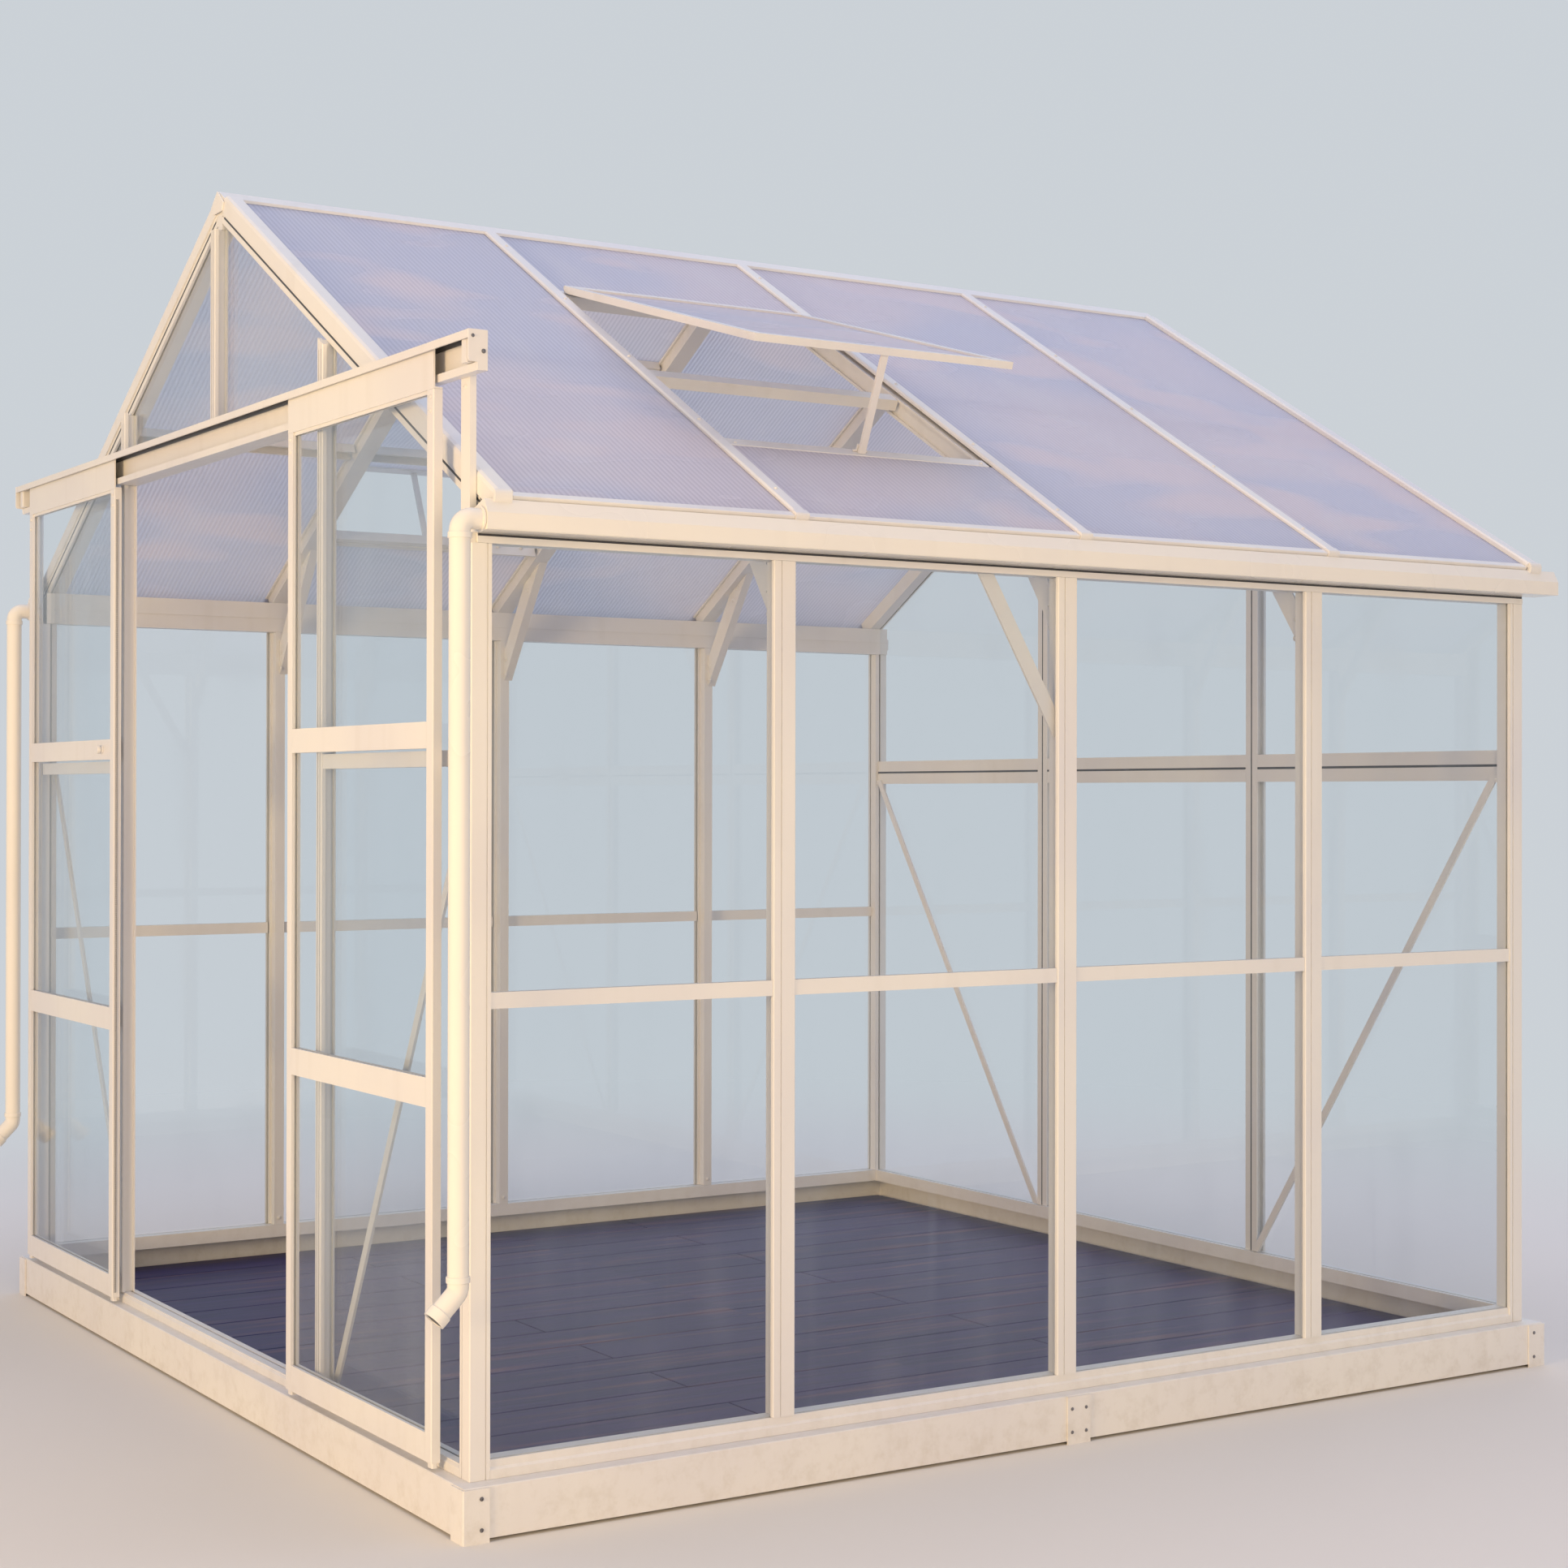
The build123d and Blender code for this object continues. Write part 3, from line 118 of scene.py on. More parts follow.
class Finish:
    def __init__(self, name, shown=(0.8, 0.8, 0.8), tree=None, output="OutputMaterial"):
        if tree is None:
            self.material = bpy.data.materials.new(name)
            self.material.use_nodes = True
            self.material.diffuse_color = (*shown, 1)
            tree = self.material.node_tree
        self.tree = tree
        self.tree.nodes.clear()
        self.output = self.tree.nodes.new("ShaderNode" + output)

    def node(self, kind, settings=None, values=None, output=0):
        made = self.tree.nodes.new("ShaderNode" + kind)
        for key, value in (settings or {}).items():
            setattr(made, key, value)
        for key, value in (values or {}).items():
            if isinstance(value, Wire):
                self.tree.links.new(value.socket, made.inputs[key])
            else:
                held = made.inputs[key]
                if hasattr(held.default_value, "__len__") and len(held.default_value) == 4 and len(value) == 3:
                    value = (*value, 1)
                held.default_value = value
        return Wire(self, made.outputs[output])

    def place(self):
        return self.node("TexCoord", output="Object")

    def axes(self, vector):
        parts = self.node("SeparateXYZ", values={0: vector})
        return [Wire(self, parts.socket.node.outputs[i]) for i in range(3)]

    def joined(self, x, y, z):
        return self.node("CombineXYZ", values={0: x, 1: y, 2: z})

    def noise(self, vector, scale, detail, roughness=0.5):
        return self.node("TexNoise", values={"Vector": vector, "Scale": scale, "Detail": detail,
                                             "Roughness": roughness})

    def chance(self, vector):
        return self.node("TexWhiteNoise", values={"Vector": vector}, output="Value")

    def stretched(self, vector, scale, place=(0, 0, 0), turn=(0, 0, 0)):
        return self.node("Mapping", values={"Vector": vector, "Location": place, "Rotation": turn, "Scale": scale})

    def blend(self, share, first, second):
        return self.node("Mix", {"data_type": "RGBA"}, {0: share, 6: first, 7: second}, output=2)

    def bump(self, height, strength, distance):
        return self.node("Bump", values={"Height": height, "Strength": strength, "Distance": distance})

    def surface(self, shader):
        self.tree.links.new(shader.socket, self.output.inputs["Surface"])
        return getattr(self, "material", None)

    def principled(self, **values):
        return self.node("BsdfPrincipled", values={k.replace("_", " "): v for k, v in values.items()})


def powderCoat():
    look = {"paint": (0.80, 0.785, 0.75), "dappledShade": (0.69, 0.675, 0.71), "dust": (0.50, 0.45, 0.37),
            "dappledShadeShare": 0.55, "streakShare": 0.10, "splashShare": 0.28, "splashTop": 0.20, "peelScale": 900,
            "peelStrength": 0.10, "peelDepth": 0.0004, "roughness": 0.28, "roughnessSpread": 0.16}
    finish = Finish("powderCoat", look["paint"])
    place = finish.place()
    height = finish.axes(place)[2]
    # The cloudy lavender patches over the warm white are painted dappled shade; the streaks and the splash near the
    # ground are dust.
    cloudy = finish.noise(place, 2.3, 2).ramp(0.35, 0.7)
    streaks = finish.noise(finish.stretched(place, (26, 26, 1.6)), 1.0, 1, 0.6).ramp(0.52, 0.8)
    fine = finish.noise(place, 46, 1, 0.6)
    splash = height.ramp(0.0, look["splashTop"], 1.0, 0.0) * finish.noise(place, 30, 3, 0.7).ramp(0.42, 0.75)
    colour = finish.blend(cloudy * look["dappledShadeShare"], look["paint"], look["dappledShade"])
    colour = finish.blend(streaks * look["streakShare"] + splash * look["splashShare"], colour, look["dust"])
    peel = finish.noise(place, look["peelScale"], 0)
    return finish.surface(finish.principled(
        Base_Color=colour, Roughness=fine * look["roughnessSpread"] + look["roughness"],
        Coat_Weight=0.10, Coat_Roughness=0.25, Normal=finish.bump(peel, look["peelStrength"], look["peelDepth"])))


def wallGlass():
    look = {"sheen": (0.92, 0.94, 0.95), "clear": (0.970, 0.979, 0.983), "roughness": 0.012, "smearRoughness": 0.10,
            "straight": 0.035, "grazing": 0.72, "smearShine": 0.035, "dripShine": 0.02}
    finish = Finish("wallGlass", (0.8, 0.9, 0.88))
    place = finish.place()
    clear = finish.node("BsdfTransparent", values={"Color": look["clear"]})
    smears = finish.noise(finish.stretched(place, (3, 3, 1.1)), 2.6, 1, 0.6).ramp(0.45, 0.85)
    drips = finish.noise(finish.stretched(place, (34, 34, 1.2)), 1.0, 1, 0.6).ramp(0.6, 0.85)
    glossy = finish.principled(Base_Color=look["sheen"], Metallic=1.0,
                               Roughness=smears * look["smearRoughness"] + look["roughness"])
    away = finish.node("LayerWeight", values={"Blend": 0.5}, output="Facing")
    share = away ** 5 * look["grazing"] + look["straight"] + smears * look["smearShine"] + drips * look["dripShine"]
    return finish.surface(finish.node("MixShader", values={0: share, 1: clear, 2: glossy}))


def roofSheet():
    look = {"pale": (0.69, 0.73, 0.93), "warm": (0.97, 0.83, 0.88), "bright": (0.94, 0.94, 0.98),
            "web": (0.46, 0.49, 0.62), "through": (0.86, 0.86, 0.88), "pitch": 0.0105, "hidden": 0.55,
            "glow": 0.28, "sunFleckShare": 0.88, "broadSunFleckShare": 0.65, "slantedLightShare": 0.22, "webShare": 0.40,
            "crownHighlightShare": 0.35, "fluteStrength": 0.22, "fluteDepth": 0.0010}
    finish = Finish("roofSheet", look["pale"])
    place = finish.place()
    along = finish.axes(place)[1]
    flute = (along * (2 * math.pi / look["pitch"])).wave() * 0.5 + 0.5
    short = finish.stretched(place, (1.0, 0.40, 1.0))
    long = finish.stretched(place, (0.9, 0.6, 0.9), (3.1, 1.7, 0.4))
    slanted = finish.stretched(place, (0.8, 1.9, 0.8), turn=(0.5, 0, 0.4))
    # Warm patches on the pale lavender sheet are painted dappled sunlight and shade, as from branches.
    sunFlecks = finish.noise(short, 6.0, 1.2, 0.45).ramp(0.50, 0.64)
    broadSunFlecks = finish.noise(long, 2.1, 1.0, 0.4).ramp(0.46, 0.62)
    # The slanted bright streaks are painted light falling across the sheet.
    slantedLightStreaks = finish.noise(slanted, 5.0, 1.0, 0.5).ramp(0.55, 0.75)
    colour = finish.blend((sunFlecks * look["sunFleckShare"]).most(broadSunFlecks * look["broadSunFleckShare"]), look["pale"], look["warm"])
    colour = finish.blend(slantedLightStreaks * look["slantedLightShare"], colour, look["bright"])
    colour = finish.blend((1 - flute) ** 5 * look["webShare"], colour, look["web"])
    # The lighter crown of each flute is a painted highlight.
    colour = finish.blend(flute ** 4 * look["crownHighlightShare"], colour, look["bright"])
    skin = finish.principled(Base_Color=colour, Roughness=sunFlecks * 0.08 + 0.26,
                             Alpha=flute * 0.06 + look["hidden"],
                             Normal=finish.bump(flute, look["fluteStrength"], look["fluteDepth"]))
    lit = finish.node("BsdfTranslucent", values={"Color": look["through"]})
    return finish.surface(finish.node("MixShader", values={0: look["glow"], 1: skin, 2: lit}))


def sheetRib():
    look = {"cool": (0.82, 0.82, 0.88), "warm": (0.88, 0.86, 0.88), "roughness": 0.3}
    finish = Finish("sheetRib", (0.85, 0.85, 0.9))
    place = finish.place()
    cloudy = finish.noise(place, 9, 3)
    return finish.surface(finish.principled(
        Base_Color=finish.blend(cloudy, look["cool"], look["warm"]), Roughness=cloudy * 0.1 + look["roughness"]))


boards = {"count": 16, "gap": 0.0035, "thickness": 0.022, "chamfer": 0.0015, "joistHeight": 0.015,
          "joists": 6, "joistWidth": 0.06, "joistInset": 0.004, "joistChamfer": 0.002, "jointFirst": 0.37,
          "jointSecond": -0.46}
deckLow, deckHigh = corners("floor_deck")
boardPitch = (deckHigh.x - deckLow.x) / boards["count"]


def deckBoard():
    look = {"dark": (0.014, 0.020, 0.088), "light": (0.080, 0.064, 0.172), "worn": (0.27, 0.135, 0.135),
            "wornShare": 0.42, "roughness": 0.38, "grainStrength": 0.20, "grainDepth": 0.0015}
    finish = Finish("deckBoard", (0.08, 0.08, 0.13))
    place = finish.place()
    across, along, height = finish.axes(place)
    row = ((across - deckLow.x) / boardPitch).whole()
    half = along.above(0.0)
    tone = finish.chance(finish.joined(row, half, 3.7))
    shifted = finish.joined(across, along + tone * 7.0, height)
    grain = finish.noise(finish.stretched(shifted, (22, 0.8, 22)), 4, 4, 0.62)
    rings = finish.noise(finish.stretched(shifted, (60, 1.6, 60)), 3, 1, 0.5)
    scuffs = finish.noise(finish.stretched(shifted, (7, 0.5, 7)), 3.2, 3, 0.6).ramp(0.52, 0.74)
    colour = finish.blend((grain.ramp(0.3, 0.72) * 0.7 + tone * 0.3), look["dark"], look["light"])
    colour = finish.blend(scuffs * look["wornShare"], colour, look["worn"])
    relief = grain * 0.7 + rings * 0.3
    return finish.surface(finish.principled(
        Base_Color=colour, Roughness=relief * 0.25 + look["roughness"], Specular_IOR_Level=0.32,
        Normal=finish.bump(relief, look["grainStrength"], look["grainDepth"])))


def gutterWhite():
    look = {"sunWarmedCream": (0.83, 0.80, 0.735), "cloud": (0.76, 0.74, 0.72), "dirt": (0.5, 0.46, 0.4), "cloudShare": 0.4,
            "dirtShare": 0.08, "roughness": 0.22}
    finish = Finish("gutterWhite", (0.85, 0.84, 0.82))
    place = finish.place()
    mottled = finish.noise(place, 5, 2).ramp(0.35, 0.75)
    streaks = finish.noise(finish.stretched(place, (18, 18, 2.0)), 1.0, 2, 0.6).ramp(0.55, 0.8)
    # The cream tint of the base colour is painted warm sunlight; the streaks are dirt.
    colour = finish.blend(mottled * look["cloudShare"], look["sunWarmedCream"], look["cloud"])
    return finish.surface(finish.principled(
        Base_Color=finish.blend(streaks * look["dirtShare"], colour, look["dirt"]),
        Roughness=mottled * 0.1 + look["roughness"], Coat_Weight=0.25, Coat_Roughness=0.12))


def rollerNylon():
    look = {"dark": (0.03, 0.03, 0.035), "light": (0.08, 0.08, 0.085), "roughness": 0.35}
    finish = Finish("rollerNylon", (0.1, 0.1, 0.1))
    place = finish.place()
    fine = finish.noise(place, 300, 3)
    return finish.surface(finish.principled(
        Base_Color=finish.blend(fine, look["dark"], look["light"]), Roughness=fine * 0.2 + look["roughness"]))


def boltSteel():
    look = {"steel": (0.24, 0.235, 0.25), "spot": (0.12, 0.11, 0.115), "spotShare": 0.6, "roughness": 0.28}
    finish = Finish("boltSteel", (0.22, 0.21, 0.23))
    place = finish.place()
    fine = finish.noise(place, 420, 3)
    spots = finish.noise(place, 60, 4, 0.6).ramp(0.5, 0.8)
    return finish.surface(finish.principled(
        Base_Color=finish.blend(spots * look["spotShare"], look["steel"], look["spot"]), Metallic=0.6,
        Roughness=fine * 0.15 + spots * 0.15 + look["roughness"]))


def brushPile():
    look = {"dark": (0.20, 0.20, 0.21), "light": (0.42, 0.42, 0.43), "roughness": 0.7}
    finish = Finish("brushPile", (0.3, 0.3, 0.31))
    place = finish.place()
    fibre = finish.noise(finish.stretched(place, (900, 60, 900)), 1.0, 3)
    return finish.surface(finish.principled(
        Base_Color=finish.blend(fibre, look["dark"], look["light"]), Roughness=fibre * 0.2 + look["roughness"]))


finishes = {
    "frame": powderCoat(), "glass": wallGlass(), "roof_sheet": roofSheet(), "deck": deckBoard(),
    "rain_goods": gutterWhite(), "roller": rollerNylon(),
}
steel, ribWhite, pile = boltSteel(), sheetRib(), brushPile()
for part in frame["record"]["subparts"]:
    for spot in frame["nodes"][part["node"]].material_slots:
        spot.material = finishes[part["material_slot"]]
print("finishes on the frame's nodes")


# Mesh helpers
def meshFrom(name, shape):
    bmesh.ops.remove_doubles(shape, verts=shape.verts, dist=1e-6)
    bmesh.ops.recalc_face_normals(shape, faces=shape.faces)
    mesh = bpy.data.meshes.new(name)
    shape.to_mesh(mesh)
    shape.free()
    return mesh


def newObject(name, mesh):
    made = bpy.data.objects.new(name, mesh)
    bpy.context.scene.collection.objects.link(made)
    return made


def addPiece(name, shape, body="frame", slot="frame", material=None):
    piece = newObject(name, meshFrom(name, shape))
    piece.data.materials.append(material or finishes[slot])
    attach(piece, body)


# Adds a straight-sided block: its outline in the plane of two axes, pushed along the third
def pushBlock(shape, outline, origin, across, upward, push):
    origin, across, upward, push = (Vector(v) for v in (origin, across, upward, push))
    near = [shape.verts.new(origin + across * u + upward * v) for u, v in outline]
    far = [shape.verts.new(v.co + push) for v in near]
    shape.faces.new(near)
    shape.faces.new(list(reversed(far)))
    for i in range(len(near)):
        j = (i + 1) % len(near)
        shape.faces.new((near[j], near[i], far[i], far[j]))


# Adds a box with its upright edges chamfered
def pushBox(shape, low, high, chamfer):
    low, high = Vector(low), Vector(high)
    wide, deep = high.x - low.x, high.y - low.y
    c = min(chamfer, wide / 3, deep / 3)
    outline = [(c, 0), (wide - c, 0), (wide, c), (wide, deep - c), (wide - c, deep), (c, deep), (0, deep - c), (0, c)]
    pushBlock(shape, outline, low, (1, 0, 0), (0, 1, 0), (0, 0, high.z - low.z))


# Adds a turned form: (distance along the axis, radius) pairs, closed on the axis where the radius is 0
def turnForm(shape, profile, origin, axis, steps):
    axis = Vector(axis).normalized()
    side = axis.orthogonal().normalized()
    other = axis.cross(side)
    rings = []
    for along, radius in profile:
        centre = Vector(origin) + axis * along
        if radius < 1e-6:
            rings.append([shape.verts.new(centre)])
        else:
            rings.append([shape.verts.new(centre + (side * math.cos(a) + other * math.sin(a)) * radius)
                          for a in (2 * math.pi * i / steps for i in range(steps))])
    for first, second in zip(rings, rings[1:]):
        for i in range(steps):
            j = (i + 1) % steps
            if len(first) == 1:
                shape.faces.new((first[0], second[i], second[j]))
            elif len(second) == 1:
                shape.faces.new((first[i], first[j], second[0]))
            else:
                shape.faces.new((first[i], first[j], second[j], second[i]))
    if len(rings[0]) > 1 and len(rings[-1]) > 1:    # a ring: joined back to its start
        for i in range(steps):
            j = (i + 1) % steps
            shape.faces.new((rings[-1][i], rings[-1][j], rings[0][j], rings[0][i]))


# Geometry Nodes writing, for what repeats
class Pattern:
    def __init__(self, name, inputs):
        self.tree = bpy.data.node_groups.new(name, "GeometryNodeTree")
        face = self.tree.interface
        face.new_socket("Geometry", in_out="INPUT", socket_type="NodeSocketGeometry")
        self.sockets = {}
        for label, kind in inputs:
            self.sockets[label] = face.new_socket(label, in_out="INPUT", socket_type="NodeSocket" + kind).identifier
        face.new_socket("Geometry", in_out="OUTPUT", socket_type="NodeSocketGeometry")
        self.start = self.tree.nodes.new("NodeGroupInput")
        self.end = self.tree.nodes.new("NodeGroupOutput")

    def given(self, label):
        return self.start.outputs[label]

    def node(self, kind, settings=None, values=None, output=0):
        made = self.tree.nodes.new(kind)
        for key, value in (settings or {}).items():
            setattr(made, key, value)
        for key, value in (values or {}).items():
            if isinstance(value, bpy.types.NodeSocket):
                self.tree.links.new(value, made.inputs[key])
            else:
                made.inputs[key].default_value = value
        return made.outputs[output]

    def finish(self, geometry, material):
        whole = self.node("GeometryNodeRealizeInstances", values={"Geometry": geometry})
        painted = self.node("GeometryNodeSetMaterial", values={"Geometry": whole, "Material": material})
        self.tree.links.new(painted, self.end.inputs[0])

    def grow(self, name, points, values, body, slot):
        piece = newObject(name, points)
        modifier = piece.modifiers.new("pattern", "NODES")
        modifier.node_group = self.tree
        for label, value in values.items():
            modifier[self.sockets[label]] = value
        graph = bpy.context.evaluated_depsgraph_get()
        plain = bpy.data.meshes.new_from_object(piece.evaluated_get(graph), depsgraph=graph)
        piece.modifiers.clear()
        piece.data = plain
        painted = plain.materials[-1]
        plain.materials.clear()
        plain.materials.append(painted)
        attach(piece, body)
        return piece


def repeatTree():
    tree = Pattern("evenRow", [("Source", "Object"), ("Count", "Int"), ("Start", "Vector"), ("Step", "Vector"),
                               ("Material", "Material")])
    line = tree.node("GeometryNodeMeshLine", {"mode": "OFFSET"}, {
        "Count": tree.given("Count"), "Start Location": tree.given("Start"), "Offset": tree.given("Step")})
    source = tree.node("GeometryNodeObjectInfo", values={"Object": tree.given("Source"), "As Instance": True},
                       output="Geometry")
    copies = tree.node("GeometryNodeInstanceOnPoints", values={"Points": line, "Instance": source})
    tree.finish(copies, tree.given("Material"))
    return tree


def fastenerTree():
    tree = Pattern("fasteners", [("Head", "Object"), ("Material", "Material"), ("Seed", "Int")])
    facing = tree.node("GeometryNodeInputNamedAttribute", {"data_type": "FLOAT_VECTOR"}, {"Name": "facing"})
    girth = tree.node("GeometryNodeInputNamedAttribute", {"data_type": "FLOAT"}, {"Name": "girth"})
    upright = tree.node("FunctionNodeAlignRotationToVector", {"axis": "Z"}, {"Vector": facing})
    spin = tree.node("FunctionNodeRandomValue", {"data_type": "FLOAT"},
                     {2: 0.0, 3: 2 * math.pi, "Seed": tree.given("Seed")}, output=1)
    turned = tree.node("FunctionNodeAxisAngleToRotation", values={"Axis": (0, 0, 1), "Angle": spin})
    pose = tree.node("FunctionNodeRotateRotation", {"rotation_space": "LOCAL"},
                     {"Rotation": upright, "Rotate By": turned})
    head = tree.node("GeometryNodeObjectInfo", values={"Object": tree.given("Head"), "As Instance": True},
                     output="Geometry")
    placed = tree.node("GeometryNodeInstanceOnPoints", values={
        "Points": tree.given("Geometry"), "Instance": head, "Rotation": pose, "Scale": girth})
    tree.finish(placed, tree.given("Material"))
    return tree


evenRow = repeatTree()
fasteners = fastenerTree()


# A row of one form, a step apart
def setRow(name, shape, count, start, step, body, slot, material):
    source = newObject("rowSource", meshFrom("rowSource", shape))
    seed = bpy.data.meshes.new("seed")
    seed.from_pydata([(0, 0, 0)], [], [])
    row = evenRow.grow(name, seed, {
        "Source": source, "Count": count, "Start": start, "Step": step, "Material": material}, body, slot)
    bpy.data.objects.remove(source)
    return row


# Floor: two lengths of plank to a row on low joists
def layBoards(setup):
    width = boardPitch - setup["gap"]
    top = deckHigh.z
    for label, row, joint in (("Odd", 0, setup["jointFirst"]), ("Even", 1, setup["jointSecond"])):
        shape = bmesh.new()
        c = setup["chamfer"]
        low = top - setup["thickness"]
        outline = [(0, low), (width, low), (width, top - c), (width - c, top), (c, top), (0, top - c)]
        for start, end in ((deckLow.y, joint - setup["gap"] / 2), (joint + setup["gap"] / 2, deckHigh.y)):
            pushBlock(shape, outline, (0, start, 0), (1, 0, 0), (0, 0, 1), (0, end - start, 0))
        first = deckLow.x + setup["gap"] / 2 + row * boardPitch
        piece = setRow("deckBoards" + label, shape, setup["count"] // 2, (first, 0, 0), (2 * boardPitch, 0, 0),
                       "frame", "deck", finishes["deck"])
        if row == 0:
            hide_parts("floor_deck")
    shape = bmesh.new()
    inset = setup["joistInset"]
    pushBox(shape, (deckLow.x + inset, 0, 0), (deckHigh.x - inset, setup["joistWidth"], setup["joistHeight"]),
            setup["joistChamfer"])
    step = (deckHigh.y - deckLow.y - setup["joistWidth"] - 2 * inset) / (setup["joists"] - 1)
    setRow("deckJoists", shape, setup["joists"], (0, deckLow.y + inset, 0), (0, step, 0), "frame", "deck",
           finishes["deck"])


layBoards(boards)
print("floor laid")


# Roof: the lines that the details follow, in the CAD's own sizes
roof = {"pitch": 30.0, "halfLength": 1.184, "ridgeZ": 2.349965, "eaveX": 1.229, "sheet": 0.006, "station": 0.61,
        "ribPitch": 0.0105, "ribWidth": 0.0005, "ribInset": 0.0004, "ribShort": 0.001, "joint": 0.004, "seat": 0.0003,
        "edgeSteel": 0.003, "ridgeGap": 0.014, "ventTop": 0.318, "ventBottom": 0.953, "ventBar": 0.030,
        "capWidth": 0.026, "edgeCapWidth": 0.034}
sash = {"open": 14.4, "length": 0.748, "bar": 0.0243, "rise": 0.0013, "sheetTop": 0.010, "low": -0.5877,
        "high": -0.0223}
cosine, sine = math.cos(math.radians(roof["pitch"])), math.sin(math.radians(roof["pitch"]))
slopeAxes = {"right": (Vector((cosine, 0, -sine)), Vector((sine, 0, cosine))),
             "left": (Vector((-cosine, 0, -sine)), Vector((-sine, 0, cosine)))}
ridgeLine = Vector((0, 0, roof["ridgeZ"]))
sheetEnd = roof["eaveX"] / cosine
rafterFace = roof["halfLength"] - roof["edgeSteel"] - roof["seat"]
jointHalf = roof["joint"] / 2
sheetBays = [(-rafterFace, -roof["station"] - jointHalf), (-roof["station"] + jointHalf, -jointHalf),
             (jointHalf, roof["station"] - jointHalf), (roof["station"] + jointHalf, rafterFace)]
ventEdge = roof["ventBar"] / 2 + roof["seat"]


def onSlope(side, down, y, rise):
    along, upward = slopeAxes[side]
    return ridgeLine + along * down + upward * rise + Vector((0, y, 0))


def sashAxes(side):
    along, upward = slopeAxes[side]
    lift = math.radians(sash["open"])
    return (onSlope(side, roof["ventTop"] / cosine, 0, sash["rise"]),
            along * math.cos(lift) + upward * math.sin(lift), upward * math.cos(lift) - along * math.sin(lift))


# One row of ribs inside a sheet whose top runs from start along its slope
def ribRow(start, along, upward, length, low, high, setup):
    shape = bmesh.new()
    top, bottom = -setup["ribInset"], setup["ribInset"] - setup["sheet"]
    outline = [(0, bottom), (length, bottom), (length, top), (0, top)]
    pushBlock(shape, outline, start, along, upward, (0, setup["ribWidth"], 0))
    count = int((high - low) / setup["ribPitch"])
    first = (low + high) / 2 - (count - 1) / 2 * setup["ribPitch"]
    return setRow("ribRow", shape, count, (0, first, 0), (0, setup["ribPitch"], 0), "frame", "roof_sheet", ribWhite)


def ribRoof(setup):
    short = setup["ribShort"]
    for side in ("right", "left"):
        along, upward = slopeAxes[side]
        pieces = []
        for index, (low, high) in enumerate(sheetBays):
            spans = [(setup["ridgeGap"], sheetEnd)]
            if index == 1:
                spans = [(setup["ridgeGap"], setup["ventTop"] / cosine - ventEdge),
                         (setup["ventBottom"] / cosine + ventEdge, sheetEnd)]
            for first, last in spans:
                pieces.append(ribRow(ridgeLine + along * (first + short), along, upward, last - first - 2 * short,
                                     low, high, setup))
        hinge, opened, raised = sashAxes(side)
        pieces.append(ribRow(hinge + opened * (sash["bar"] + short) + raised * sash["sheetTop"], opened, raised,
                             sash["length"] - 2 * sash["bar"] - 2 * short, sash["low"] + sash["bar"],
                             sash["high"] - sash["bar"], setup))
        whole = bmesh.new()
        for piece in pieces:
            whole.from_mesh(piece.data)
            bpy.data.objects.remove(piece)
        addPiece(side + "SheetRibs", whole, slot="roof_sheet", material=ribWhite)


ribRoof(roof)
print("roof sheets ribbed")


# Trim on the roof: end strips of the sheets, rounded ends of the caps. Outlines are (down the slope, off it)
trim = {
    "strip": [(-0.014, -0.0078), (0.0012, -0.0078), (0.0020, -0.0068), (0.0020, 0.0006), (0.0010, 0.0016),
              (-0.014, 0.0016)],
    "stripShort": 0.001,
    "nose": [(-0.012, -0.0200), (0.0022, -0.0200), (0.0040, -0.0180), (0.0040, 0.0035), (0.0020, 0.0062),
             (-0.0015, 0.0070), (-0.012, 0.0070)],
    "noseWider": 0.0004,
    "edgeRadius": 0.0150, "edgeFlat": 0.8, "edgeSteps": 12, "edgeTop": 0.0110, "edgeBack": 0.0005,
    "edgeLength": 0.030, "ridgeLeg": 0.0335, "ridgeDrop": 0.0362, "ridgeTop": 0.0066, "ridgeTaper": 0.008,
    "ridgeUnder": 0.001, "ridgeSteel": 0.0035, "ridgeBreak": 0.0009,
}


